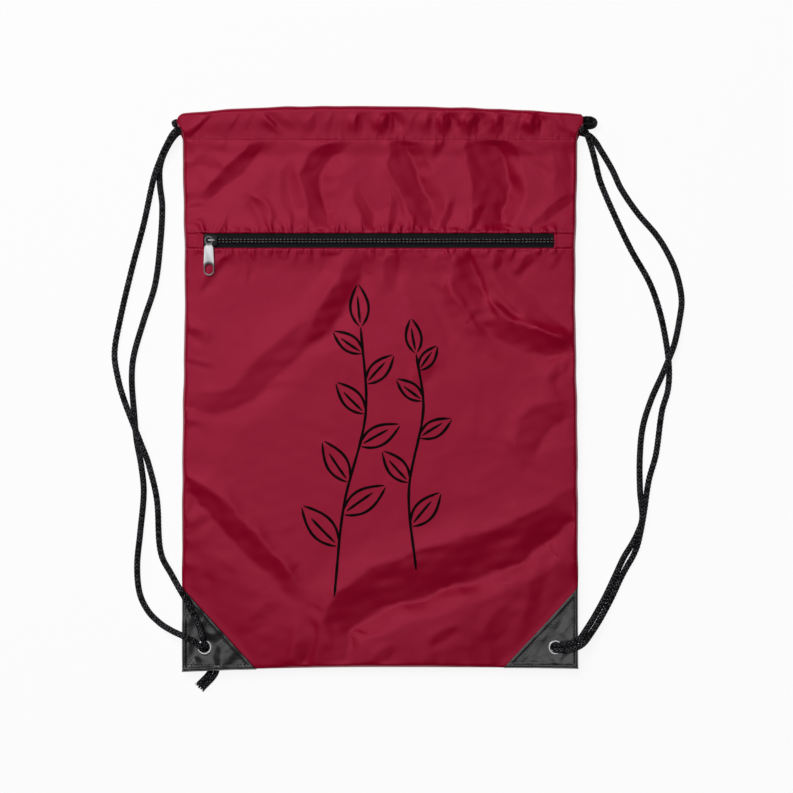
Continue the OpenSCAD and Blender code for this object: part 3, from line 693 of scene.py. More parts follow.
def path_distance(x, y, path):
    """Distance from each point to a path, positive on its right, and the share of its length there."""
    nearest = np.full(x.shape, np.inf)
    signed, share = np.zeros(x.shape), np.zeros(x.shape)
    lengths = np.linalg.norm(np.diff(path, axis=0), axis=1)
    run = run_along(path)
    for i, (a, b) in enumerate(zip(path, path[1:])):
        way = b - a
        t = ramp(((x - a[0]) * way[0] + (y - a[1]) * way[1]) / (way @ way))
        dx, dy = x - a[0] - t * way[0], y - a[1] - t * way[1]
        far = np.hypot(dx, dy)
        closer = far < nearest
        nearest = np.where(closer, far, nearest)
        signed = np.where(closer, np.where(dx * way[1] - dy * way[0] > 0, far, -far), signed)
        share = np.where(closer, (run[i] + t * lengths[i]) / run[-1], share)
    return signed, share


def fold_height(x, y, fold, tallest):
    """Height in mm that one fold adds, at most tallest."""
    points, band, steepness, rise, fall = fold
    path = np.asarray(points, float) if len(points) == 2 else smoothed(points, 6)
    reach = band / 2 + max(rise, fall)
    near = (
        (x > path[:, 0].min() - reach)
        & (x < path[:, 0].max() + reach)
        & (y > path[:, 1].min() - reach)
        & (y < path[:, 1].max() + reach)
    )
    height = np.zeros(x.shape)
    if not near.any():
        return height
    d, along = path_distance(x[near], y[near], path)
    uneven = 1.7 * wobble(x[near], y[near], 95, 30) + 0.8 * wobble(x[near], y[near], 96, 11)
    d = d + min(1.0, band / 12) * uneven
    narrow = 0.35 + 0.65 * np.sin(math.pi * ramp(along)) ** 0.6
    half = band / 2 * narrow
    ridge = min(RIDGE, tallest / (band * steepness))
    levels = np.zeros(d.shape)
    for shift, weight in ((-2, 0.06), (-1, 0.24), (0, 0.4), (1, 0.24), (2, 0.06)):
        e = d + shift * SOFT
        up = ramp((e + half + rise) / rise)
        down = ramp((half + fall - e) / fall)
        slope = ridge - ramp((e + half) / (2 * half))
        level = np.where(e < -half, ridge * up**1.6, np.where(e > half, (ridge - 1) * down**1.3, slope))
        levels += weight * level
    ends = ramp(np.minimum(along, 1 - along) * 5 + 0.12)
    past = ramp(1 - np.maximum(np.abs(d) - half, 0) / max(rise, fall))
    height[near] = band * steepness * narrow * ends * levels * np.where(ends < 1, past, 1)
    return height


def small_folds(seed, count, low, high, spread, steepness):
    """Small folds in random places, the same on each run. spread is (least, most) length in mm."""
    rng = np.random.default_rng(seed)
    made = []
    for _ in range(count):
        at = rng.uniform(low, high)
        angle = rng.uniform(0, 2 * math.pi)
        way = np.array([math.cos(angle), math.sin(angle)]) * rng.uniform(*spread) / 2
        side = np.array([-way[1], way[0]]) * rng.uniform(-0.25, 0.25)
        band = rng.uniform(3, 9)
        path = [tuple(at - way), tuple(at + side), tuple(at + way)]
        made.append((path, band, rng.uniform(0.3, 1) * steepness, band * 1.4, band))
    return made


def fingers(run, away, seed, count, span, lengths, widths, tall):
    """Short ridges that fan out from a seam: run is the place along it and away the distance from it."""
    rng = np.random.default_rng(seed)
    height = np.zeros(run.shape)
    near = (away < lengths[1]) & (away >= 0)
    r, a = run[near], away[near]
    total = np.zeros(r.shape)
    for at in np.linspace(*span, count) + rng.uniform(-0.5, 0.5, count) * (span[1] - span[0]) / count:
        length = lengths[0] + (lengths[1] - lengths[0]) * rng.uniform(0, 1) ** 2.2
        wide = rng.uniform(*widths)
        lean = rng.uniform(-0.45, 0.45)
        t = a / length
        d = (r - at - lean * a) / (wide * (0.6 + 0.8 * t))
        ridge = np.where(d < 0, np.exp(-(d**2) * 0.7), np.exp(-(d**2) * 2.2))
        at_seam = 1 - 0.5 * np.exp(-a / 1.2)
        total += rng.uniform(0.4, 1) * tall * ridge * ramp(1 - t) * at_seam
    height[near] = total
    return height


def ripple(x, seed, pitch, waves=7):
    """An uneven wave of about the given pitch, from -1 to 1."""
    rng = np.random.default_rng(seed)
    total = np.zeros(np.shape(x))
    for _ in range(waves):
        total += np.cos(2 * math.pi * x / (pitch * rng.uniform(0.6, 1.9)) + rng.uniform(0, 2 * math.pi))
    return total / waves**0.5 / 1.4


def wobble(x, y, seed, pitch, waves=7):
    """A smooth unevenness over the surface, of about the given pitch, from -1 to 1."""
    rng = np.random.default_rng(seed)
    total = np.zeros(np.shape(x))
    for _ in range(waves):
        angle, length = rng.uniform(0, math.pi), pitch * rng.uniform(0.7, 1.5)
        along = 2 * math.pi * (x * math.cos(angle) + y * math.sin(angle)) / length
        total += np.cos(along + rng.uniform(0, 6.3))
    return total / waves**0.5 / 1.4


def facets(x, y, seed, pitch, waves=6):
    """Flat-sided crumples of about the given pitch, from -1 to 1."""
    rng = np.random.default_rng(seed)
    total = np.zeros(x.shape)
    wide = pitch * 1.7
    for _ in range(waves):
        angle = rng.uniform(0, math.pi)
        along = (x * math.cos(angle) + y * math.sin(angle)) / (pitch * rng.uniform(0.7, 1.6))
        along = along + rng.uniform(0, 1)
        patches = 0.5 * np.sin(x / wide + rng.uniform(0, 6)) * np.sin(y / wide + rng.uniform(0, 6))
        total += (0.5 + patches) * (np.abs((along % 1) * 2 - 1) * 2 - 1)
    return total / waves**0.5


def edge_distance(x, y):
    """Distance inward from the side and bottom seams."""
    return np.minimum(HALF_W - np.abs(x), y - BOTTOM_Y)


def slant_distance(x, y):
    """Distance inward from the slanting edge of the corner patches."""
    across, up = HALF_W - np.abs(x), y - BOTTOM_Y
    return (across / PATCH_W + up / PATCH_H - 1) / math.hypot(1 / PATCH_W, 1 / PATCH_H)


def seam_puckers(x, y):
    """Puckers that the side and bottom seams draw into the cloth."""
    side = HALF_W - np.abs(x)
    up = y - BOTTOM_Y
    bottom = 0.25 * ripple(x, 32, 12) * np.exp(-up / 8) + 0.45 * ripple(x, 34, 30) * np.exp(-up / 20)
    alike = {"span": (-160, 204), "widths": (1.4, 3.4), "tall": 0.6}
    sides = np.where(
        x < 0,
        fingers(y, side, seed=35, count=22, lengths=(4, 20), **alike),
        fingers(y, side, seed=36, count=20, lengths=(4, 18), **alike),
    )
    return sides + bottom + 0.35 * ripple(y, 33, 26) * np.exp(-side / 18)


def zipper_puckers(x, y):
    """Puckers along the zipper's two stitched edges."""
    away = np.abs(y - ZIP_Y) - (WINDOW_HIGH_Y - ZIP_Y)
    span = (ZIP_X0 - 6, ZIP_X1 + 8)
    inside = eased((x - ZIP_X0 + 14) / 12) * eased((ZIP_X1 + 14 - x) / 12)
    if y.min() > ZIP_Y:
        drawn = fingers(x, away, seed=41, count=56, span=span, lengths=(3, 20), widths=(1.5, 3.8), tall=1.5)
        fine = ripple(x, 42, 3.6)
    else:
        drawn = fingers(x, away, seed=43, count=52, span=span, lengths=(3, 17), widths=(1.5, 3.6), tall=1.35)
        fine = ripple(x, 44, 3.8)
    return inside * (drawn + 0.22 * fine * fading(away, 2.6))


def hem_puckers(x, y, seed=51):
    """Puckers on both sides of the hem's stitching."""
    away = np.abs(y - STITCH_Y)
    span = (-HALF_W, HALF_W)
    drawn = fingers(x, away, seed, count=40, span=span, lengths=(3, 12), widths=(1.3, 3), tall=0.45)
    return drawn + 0.14 * ripple(x, seed + 1, 5) * np.exp(-away / 2)


PULL_DEPTH, PULL_TILT = 1.6, 0.096  # mm that the pull's underside lies below its top, and its slope


def pull_room(y):
    """Greatest height of the cloth that the swinging and sliding pull clears."""
    away = np.abs(y - ZIP_Y)
    reach = ZIP_Y - PULL_LOW[1]
    under = PULL_HIGH[2] - PULL_DEPTH - PULL_TILT * np.maximum(away - 4, 0)
    return under + np.maximum(away - reach - 1.5, 0) * 0.5


FRONT_SMALL = small_folds(seed=5, count=90, low=(-155, -222), high=(155, 96), spread=(12, 60), steepness=0.05)
YOKE_SMALL = small_folds(seed=6, count=30, low=(-155, 146), high=(155, 203), spread=(14, 40), steepness=0.05)
HELD_FLAT = 4  # mm past a patch's edge at which the cloth starts to fill
TALLEST_YOKE, TALLEST = 1.3, 2.4  # heights in mm that one fold stays under on the yoke and elsewhere


def front_height(x, y):
    """Height of the outside of the front cloth and the yoke, in mm: the filled shape, then the folds, the
    puckers and the seams that are sewn down, and room for the pull."""
    scale = bpy.context.scene.backpack_sizes.fold_scale
    edge = edge_distance(x, y)
    inner = slant_distance(x, y) - HELD_FLAT
    from_zip = np.abs(y - ZIP_Y)
    by_seam = 0.82 * (1 - bell(np.maximum(edge, 0), 1.2)) + 0.18 * filling(edge, 28, 2)
    filled = filling(inner, 60, 1.5) * by_seam
    low = 1.25 * eased((from_zip - 6) / 22) * (1 - eased((y - STITCH_Y + 16) / 14))
    level = PLATEAU_Z - 0.2 - low + 0.5 * eased((ZIP_Y - 45 - y) / 40)
    height = RIM_Z - 0.9 * fading(edge, 1.2) + filled * (level - RIM_Z)
    waves = 0.34 * facets(x, y, 21, 38) + 0.1 * facets(x, y, 22, 17)
    if y.min() > ZIP_Y:
        folds, tallest = YOKE_FOLDS + YOKE_SMALL, TALLEST_YOKE
    else:
        folds, tallest = PANEL_FOLDS + FRONT_SMALL, TALLEST
    for fold in folds:
        waves += fold_height(x, y, fold, tallest)
    calm = eased((from_zip - 6) / 7) * eased((edge - 0.8) / 5)
    calm = calm * np.where(y > ZIP_Y, 0.3 + 0.7 * eased((STITCH_Y - y) / 6), 1)
    height += scale * filling(inner, 26, 2) * waves * calm
    tidy = eased(edge / 2.5) * eased(inner / 6 + 0.6)
    height += scale * tidy * (zipper_puckers(x, y) + hem_puckers(x, y) + seam_puckers(x, y))
    seam = from_zip - (WINDOW_HIGH_Y - ZIP_Y)
    beside = np.maximum(ZIP_X0 - x, x - ZIP_X1)
    height -= 0.05 * bell(seam, 0.9) * eased(beside / 3) + 0.1 * bell(y - STITCH_Y, 1.4)
    return height - above_zero(height - pull_room(y), 0.3)


BACK_FOLDS = [
    ([(-140, 120), (-90, 60), (-70, -20), (-84, -90)], 24, 0.16, 26, 24),
    ([(-60, 190), (-30, 120), (20, 70), (60, 40)], 22, 0.17, 24, 22),
    ([(-20, -200), (30, -120), (90, -70), (150, -40)], 28, 0.16, 26, 26),
    ([(60, 200), (72, 150), (100, 90), (150, 60)], 18, 0.18, 20, 18),
    ([(-150, -60), (-110, -110), (-60, -150), (-40, -200)], 20, 0.17, 20, 20),
    ([(-150, 180), (-120, 170), (-96, 150)], 10, 0.22, 12, 12),
    ([(10, -20), (40, -40), (56, -84)], 14, 0.16, 16, 16),
]
BACK_SMALL = small_folds(seed=8, count=60, low=(-150, -215), high=(150, 200), spread=(16, 70), steepness=0.07)


def back_height(x, y):
    """Height of the outside of the back cloth above the floor, in mm."""
    edge = edge_distance(x, y)
    inner = np.minimum(edge, slant_distance(x, y)) - HELD_FLAT
    filled = filling(inner, 26, 2.4)
    top = BACK_PATCH_HIGH[2]
    height = top + 0.7 * fading(edge, 1.2) - filled * top
    waves = np.zeros(x.shape)
    for fold in BACK_FOLDS + BACK_SMALL:
        waves += fold_height(x, y, fold, TALLEST)
    waves += 0.3 * facets(x, y, 23, 36)
    height += filled * (1.4 + waves) + 0.4 * eased(inner / 6) * hem_puckers(x, y, 55)
    return above_zero(height, 0.5) + 0.06


def drawn_in(x, y):
    """X after the side seams' slight waist and unevenness."""
    near_seam = eased((np.abs(x) - (HALF_W - 16)) / 16)
    waist = 2.2 * bell(y - 84, 92) + 0.22 * ripple(y, 61, 34)
    return x - np.sign(x) * near_seam * waist


def bowed(x, y):
    """Y after the bottom seam's slight bow, which hangs lowest at its left corner."""
    share = x / HALF_W
    drop = 1.3 - np.where(share < 0, 3.4, 0.7) * share**2
    return y + drop * eased((BOTTOM_Y + 40 - y) / 40)


def cloth_piece(name, flat, cells, height, kind, side=1):
    """A cloth panel of the given height function, with its outside up (1) or down (-1)."""
    x, y = flat[:, 0], flat[:, 1]
    points = np.stack([drawn_in(x, y), bowed(x, y), height(x, y)], axis=1)
    if side < 0:
        cells = [c[::-1] for c in cells]
    return new_piece(name, points, cells, kind, wall=bpy.context.scene.backpack_sizes.cloth)


def bending(height, x, y):
    """How sharply a surface bends within 2 mm of each point, in mm."""
    middle = 2 * height(x, y)
    across = height(x + 2, y) + height(x - 2, y) - middle
    along = height(x, y + 2) + height(x, y - 2) - middle
    return np.abs(across) + np.abs(along)


def near_eyelets(x, y, reach):
    return np.hypot(np.abs(x) - EYELET_X, y - EYELET_Y) < reach


# ---------- stage ----------

WHITE = (1, 1, 1, 1)
SHEET_SIZE, SHEET_Z = 8, -0.0003  # of the floor's paper, in m
PAPER_SHINE = 0.9  # share of pure white in what the camera sees of the paper
SKY_WAY = (-0.06, 0.12, 0.991)  # towards the middle of the bright part of the room
SKY_EDGE, SKY_CORE = 0.865, 0.97  # cosines of the angles from there at which it begins and is full
SKY_DIM, SKY_BRIGHT = 0.02, 0.43  # strengths outside that part and at its middle
SKY_MIRRORED = 1.15  # share of them that is added for what mirrors see
SOFTBOX = 1.6  # side of each lamp, in m
CAMERA_X, CAMERA_Y = 0.0137, -0.0056  # a little off the bag's middle, in m
FIELD, SENSOR = 0.659, 36  # the field's width at the front cloth's height in m, and the sensor's in mm


class BACKPACK_OT_stage(bpy.types.Operator):
    """Adds the floor, the lights and the camera"""

    bl_idname = "backpack.stage"
    bl_label = "Stage"

    def execute(self, context):
        scene = context.scene
        scene.view_settings.view_transform = "Standard"
        bpy.ops.mesh.primitive_plane_add(size=SHEET_SIZE, location=(0, 0, SHEET_Z))
        floor = context.active_object
        floor.name = "floor"
        floor.data.materials.append(self.floor_finish(scene.backpack_colours.floor))
        self.world(scene)
        self.lamp("key_light", (-0.7, 1.05, 2.94), 76.5).visible_glossy = False
        self.lamp("glint_light", (-2.1, 1.75, 1.6), 16)
        self.camera(scene)
        return {"FINISHED"}

    def floor_finish(self, colour):
        """White paper: the camera, mirrors and glass see it almost pure white, with a trace of shadow."""
        made = bpy.data.materials.new("paper_floor")
        tree = empty_tree(made)
        rays = add(tree, "LightPath").outputs
        seen = maths(tree, "MAXIMUM", rays["Is Camera Ray"], rays["Is Glossy Ray"])
        seen = maths(tree, "MAXIMUM", seen, rays["Is Transmission Ray"])
        share = maths(tree, "MULTIPLY", seen, PAPER_SHINE)
        paper = add(tree, "BsdfDiffuse", {"Color": (*colour, 1)}).outputs[0]
        white = add(tree, "Emission", {"Color": WHITE, "Strength": 1}).outputs[0]
        both = add(tree, "MixShader", {0: share, 1: paper, 2: white})
        add(tree, "OutputMaterial", {"Surface": both.outputs[0]})
        return made

    def world(self, scene):
        """A white backdrop and a room that is bright overhead and on the lamp's side, and dim elsewhere."""
        scene.world = bpy.data.worlds.new("studio")
        tree = empty_tree(scene.world)
        rays = add(tree, "LightPath").outputs
        way = add(tree, "TexCoord").outputs["Generated"]
        towards = add(tree, "VectorMath", {0: way, 1: SKY_WAY}, operation="DOT_PRODUCT").outputs["Value"]
        bright = ranged(tree, towards, SKY_DIM, SKY_BRIGHT, SKY_EDGE, SKY_CORE, "SMOOTHSTEP")
        mirrored = maths(tree, "MULTIPLY_ADD", rays["Is Glossy Ray"], SKY_MIRRORED, 1)
        strength = maths(tree, "MULTIPLY", bright, mirrored)
        lit = add(tree, "Background", {"Color": WHITE, "Strength": strength}).outputs[0]
        seen = add(tree, "Background", {"Color": WHITE, "Strength": 1}).outputs[0]
        both = add(tree, "MixShader", {0: rays["Is Camera Ray"], 1: lit, 2: seen})
        add(tree, "OutputWorld", {"Surface": both.outputs[0]})

    def lamp(self, name, place, power):
        """A square softbox that faces the bag."""
        data = bpy.data.lights.new(name, "AREA")
        data.size = SOFTBOX
        data.energy = power
        lamp = bpy.data.objects.new(name, data)
        lamp.location = place
        lamp.rotation_euler = (-Vector(place)).to_track_quat("-Z", "Y").to_euler()
        bpy.context.scene.collection.objects.link(lamp)
        return lamp

    def camera(self, scene):
        """Looks straight down on the bag."""
        data = bpy.data.cameras.new("camera")
        camera = bpy.data.objects.new("camera", data)
        scene.collection.objects.link(camera)
        height = scene.backpack_sizes.camera_height
        data.sensor_width = SENSOR
        data.lens = SENSOR * (height - PLATEAU_Z * MM) / FIELD
        data.clip_start, data.clip_end = 0.1, 20
        camera.location = (CAMERA_X, CAMERA_Y, height)
        scene.camera = camera


# ---------- cords ----------

SQUEEZE, SNUG = 0.83, 0.9  # shares of its thickness that a cord keeps in an eyelet, and in a hem or knot
LANE = CORD * SQUEEZE / 2 + 0.06  # from an eyelet's middle to each of the two runs through it
DIAGONAL = LANE * 0.5**0.5
FLOOR_Z, OVER_Z = 2.72, 7.95  # of a cord that lies on the floor, and of one that crosses over another
KNOT_TOP_Z, EYELET_TOP_Z, PATCH_TOP_Z = 8.6, 17.3, 18.95
FRONT_LANE_Z, BACK_LANE_Z = 16.8, 3.2
LOW_Y, HIGH_Y = STITCH_Y + 7.4, STITCH_Y + 15
CROSS_X, CROSS_HALF, CROSS_SQUEEZE, CROSS_LIFT = 60, 14, 0.45, 1.15


def laid(*points):
    """A cord's points as (x, y, z, share of its thickness), in mm. Those that end sooner lie on the floor,
    or have the whole thickness."""
    return [(*point, *(FLOOR_Z, 1)[len(point) - 2 :]) for point in points]


LEFT_FIRST = laid(
    (-EYELET_X + DIAGONAL, EYELET_Y + DIAGONAL, KNOT_TOP_Z, SQUEEZE),
    (-EYELET_X + DIAGONAL, EYELET_Y + DIAGONAL, EYELET_TOP_Z, SQUEEZE),
    (-147.5, -206.5, 20.4, SNUG),
    (-151, -195, PATCH_TOP_Z), (-160, -177, PATCH_TOP_Z + 0.5), (-167, -165, PATCH_TOP_Z), (-174.5, -153, 12),
    (-182, -141, 5), (-185, -128), (-187, -92), (-194, -62), (-199.5, -46, OVER_Z), (-208.5, -23, OVER_Z),
    (-214.5, -8, 4), (-219, 7), (-222.5, 30), (-218, 58), (-208, 101), (-198, 139), (-191, 171, 4),
    (-188.2, 180.5, 6.9), (-184.5, 190, 9), (-179, 202, 12),
)
LEFT_SECOND = laid(
    (-180, 200, 2.7), (-184.5, 186), (-184.5, 172), (-182.5, 154), (-184, 124), (-188.5, 88), (-198, 58),
    (-206.5, 28), (-208, 8), (-206, -20), (-204, -42), (-200, -64), (-198, -86), (-201, -120), (-203.5, -147),
    (-201.5, -170), (-194.5, -185, 3), (-184, -195, 7.5), (-174, -200.5, 14), (-165.5, -204, PATCH_TOP_Z),
    (-154.5, -209.5, 20.6, SNUG),
    (-EYELET_X - DIAGONAL, EYELET_Y - DIAGONAL, EYELET_TOP_Z, SQUEEZE),
    (-EYELET_X - DIAGONAL, EYELET_Y - DIAGONAL, KNOT_TOP_Z, SQUEEZE),
)
RIGHT_FIRST = laid(
    (EYELET_X, EYELET_Y - LANE, KNOT_TOP_Z, SQUEEZE),
    (EYELET_X, EYELET_Y - LANE, EYELET_TOP_Z, SQUEEZE),
    (157, -216.3, 20.6, SNUG),
    (168, -212, PATCH_TOP_Z), (176.1, -203.1, 12.8), (184.5, -190.9, 7), (193.9, -174, 3.2), (201.9, -157),
    (207, -147.5), (211.9, -139), (216, -128.5), (220.5, -106), (225, -76), (231, -54), (236, -18), (241, 0),
    (242, 18), (239.5, 40), (234, 66), (225.5, 90), (210, 117.5), (195, 149), (184.5, 174),
    (180.5, 188.5, 5.5), (177.5, 199, 9), (174.5, 207.5, 13),
)
RIGHT_SECOND = laid(
    (175.5, 212.6, 2.8), (180.5, 207.5), (184.5, 201), (190, 192), (195, 183), (202, 168), (216, 147.5),
    (231, 130), (240, 116), (248, 98), (252.5, 76), (250.5, 58, 3.6), (246, 38.5, OVER_Z), (241, 25, OVER_Z),
    (236, 13, OVER_Z), (227, -8, 3.8), (220, -31), (217.5, -56), (217.5, -84, 4.4), (219, -108, OVER_Z),
    (214.5, -121.5, 6.7), (210.3, -129.8, 4.7), (204, -140.5), (197.3, -154.8), (189.3, -171.7, 3.2),
    (180, -188.1, 7), (171.9, -199.9, 12.8), (165.3, -207.5, PATCH_TOP_Z + 0.3), (155.4, -211.2, 20.6, SNUG),
    (EYELET_X, EYELET_Y + LANE, EYELET_TOP_Z, SQUEEZE),
    (EYELET_X, EYELET_Y + LANE, KNOT_TOP_Z, SQUEEZE),
)
# The bends at the far ends of the hems, from the front one into the back one
RIGHT_BIGHT = [
    (HEM_END_X + 1, HIGH_Y + 0.8, FRONT_LANE_Z, 1.1), (175.2, 224.7, 15.4, 1.18), (178.2, 223.4, 11.6, 1.18),
    (178.2, 221.7, 7.6, 1.18), (175.2, 220.9, 4.2, 1.18), (HEM_END_X + 1, HIGH_Y - 2.8, BACK_LANE_Z, 1.1),
]
LEFT_BIGHT = [
    (-HEM_END_X - 0.4, HIGH_Y - 1, FRONT_LANE_Z, SNUG), (-HEM_END_X - 2.4, 222.6, 15.2, SNUG),
    (-HEM_END_X - 2.9, 222, 10, SNUG), (-HEM_END_X - 2.4, 221.4, 4.8, SNUG),
    (-HEM_END_X - 0.4, HIGH_Y - 3, BACK_LANE_Z, SNUG),
]


def hem_run(x0, y0, x1, y1, z, lift, at_x):
    """One run through a hem, squeezed flat where it crosses the other cord."""
    way = math.copysign(1, x1 - x0)
    before, after = way * (CROSS_HALF + 12), way * CROSS_HALF
    return [
        (x0, y0, z, SNUG),
        (at_x - before, y0, z, SNUG),
        (at_x - after, y0, z + lift, CROSS_SQUEEZE),
        (at_x + after, y1, z + lift, CROSS_SQUEEZE),
        (at_x + before, y1, z, SNUG),
        (x1, y1, z, SNUG),
    ]


LEFT_ROUTE = [
    *LEFT_FIRST,
    (-HEM_END_X - 1.5, LOW_Y - 1, FRONT_LANE_Z, 1),
    *hem_run(-HEM_END_X + 6, LOW_Y, HEM_END_X - 4, HIGH_Y, FRONT_LANE_Z, CROSS_LIFT, CROSS_X),
    *RIGHT_BIGHT,
    *hem_run(HEM_END_X - 4, HIGH_Y - 3.6, -HEM_END_X + 6, LOW_Y - 0.8, BACK_LANE_Z, -CROSS_LIFT, -CROSS_X),
    (-HEM_END_X - 1.5, LOW_Y - 1.8, BACK_LANE_Z, 1),
    *LEFT_SECOND,
]
RIGHT_ROUTE = [
    *RIGHT_FIRST,
    (HEM_END_X + 1.5, LOW_Y - 0.8, FRONT_LANE_Z, 1),
    *hem_run(HEM_END_X - 6, LOW_Y, -HEM_END_X + 4, HIGH_Y - 1, FRONT_LANE_Z, -CROSS_LIFT, CROSS_X),
    *LEFT_BIGHT,
    *hem_run(-HEM_END_X + 4, HIGH_Y - 3, HEM_END_X - 6, LOW_Y - 0.8, BACK_LANE_Z, CROSS_LIFT, -CROSS_X),
    (HEM_END_X + 1.5, LOW_Y - 1.8, BACK_LANE_Z, 1),
    *RIGHT_SECOND,
]
LEFT_TAILS = [
    [
        (-145.4, -220, 4.4, SNUG), (-141.5, -228, FLOOR_Z, SNUG), (-142.4, -236, FLOOR_Z, SNUG),
        (-152.3, -247, FLOOR_Z, SNUG),
    ],
    [
        (-141.2, -218, 4.4, SNUG), (-136.9, -227.4, FLOOR_Z, SNUG), (-137.8, -237.6, FLOOR_Z, SNUG),
        (-148.8, -250.2, FLOOR_Z, SNUG),
    ],
]
RIGHT_TAILS = [
    [(141.6, -210.8, 4.6, SNUG), (139, -205.5, FLOOR_Z, SNUG), (136.5, -201, FLOOR_Z, SNUG)],
    [(145.6, -208.6, 4.6, SNUG), (143.4, -203.3, FLOOR_Z, SNUG), (140.8, -198.6, FLOOR_Z, SNUG)],
]

BRAID_STRANDS = 5  # strands that wind each way
BRAID_PITCH = 3.2  # mm along the cord from one of them to the next
BRAID_DEPTH = 0.22
CORD_STEP, CORD_SIDES = 0.55, 20
KNOT_R = 2.5  # of the middle of a knot's wraps
KNOT_TURNS = 1.6  # to either side of the knot's middle
FILAMENTS, FILAMENT_R = 26, 0.2  # that stand out of a cut end


def braid(angle, run):
    """Relief of a round braid: strands that wind both ways and pass over and under each other."""
    turn = 2 * math.pi * run / BRAID_PITCH
    one = np.cos(BRAID_STRANDS * angle + turn)
    other = np.cos(BRAID_STRANDS * angle - turn)
    return BRAID_DEPTH * (np.maximum(one, other) - 0.5)


def cord_tube(route, radius):
    """A braided tube along a route of (x, y, z, share of the thickness), kept above the floor."""
    line, _ = spaced(smoothed(route), CORD_STEP)
    line[:, 2] = np.maximum(line[:, 2], radius * line[:, 3] + BRAID_DEPTH / 2 + 0.01)
    return tube(line[:, :3], radius * line[:, 3], CORD_SIDES, braid), line


class BACKPACK_OT_cords(bpy.types.Operator):
    """Adds the two cords and their knots"""

    bl_idname = "backpack.cords"
    bl_label = "Cords and knots"

    def execute(self, context):
        thick = context.scene.backpack_sizes.cord / MM
        for side, route, axis, tails in (
            ("left", LEFT_ROUTE, -62, LEFT_TAILS),
            ("right", RIGHT_ROUTE, 118, RIGHT_TAILS),
        ):
            part, line = cord_tube(route, thick / 2 * 1.05)
            cord = tube_piece(f"cord_{side}_braided", [part], "cord")
            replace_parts(cord, f"cord_{side}")
            knot = self.knot(side, math.radians(axis), tails, thick)
            metres = line[:, :3] * MM
            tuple(metres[0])
            spaced(metres, 0.003)[0]
        return {"FINISHED"}

    def knot(self, side, axis, tails, thick):
        """Wraps round an axis and a core that fills them, with both cut ends beyond."""
        sign = LEFT if side == "left" else RIGHT
        along = np.array([math.cos(axis), math.sin(axis), 0])
        across = np.array([-along[1], along[0], 0])
        up = np.array([0, 0, 1])
        snug = thick * SNUG
        middle = np.array([sign * EYELET_X, EYELET_Y, KNOT_R + snug / 2 + 0.1])
        wraps = [
            middle
            + along * t * snug * 0.96
            + KNOT_R * (across * math.cos(2 * math.pi * t) + up * math.sin(2 * math.pi * t))
            for t in np.linspace(-KNOT_TURNS, KNOT_TURNS, 90)
        ]
        core = np.array([middle - along * snug * 1.3, middle + along * snug * 1.3])
        parts = [
            tube(spaced(wraps, CORD_STEP)[0], snug / 2 * 0.98, CORD_SIDES, braid),
            tube(core, snug * 0.32, 10),
        ]
        for tail in tails:
            part, line = cord_tube(tail, thick / 2 * 1.06)
            parts += [part, *self.frayed(line[:, :3], snug)]
        knot = tube_piece(f"knot_{side}_tied", parts, "cord")
        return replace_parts(knot, f"knot_{side}")

    def frayed(self, line, thick):
        """Loose filaments that stand out of a cut end."""
        rng = np.random.default_rng(12)
        side, up = frames_along(line)
        ahead = line[-1] - line[-3]
        ahead = ahead / np.linalg.norm(ahead)
        strands = []
        for _ in range(FILAMENTS):
            angle, out = rng.uniform(0, 2 * math.pi), thick / 2 * rng.uniform(0.1, 0.9) ** 0.5
            square = side[-1] * math.cos(angle) + up[-1] * math.sin(angle)
            start = line[-1] + square * out - ahead * 0.3
            reach = rng.uniform(1.0, 2.2)
            end = start + ahead * reach + square * rng.uniform(0, 0.7)
            end[2] = max(end[2], FILAMENT_R + 0.1)
            strands.append(tube(np.array([start, (start + end) / 2 + square * 0.1, end]), FILAMENT_R, 4))
        return strands


# ---------- cloth panels ----------

EYELET_HOLE, EYELET_NEAR = 5.0, 9  # radius of the holes for the eyelets, and of the finer cloth round them
LINING_IN = 1  # from the side and bottom seams to the lining's edges
SEAM_Z = 13.1  # height of the seam that holds the lining
BENT = 0.4  # mm of bending within 2 mm beyond which the front cloth has a finer grid


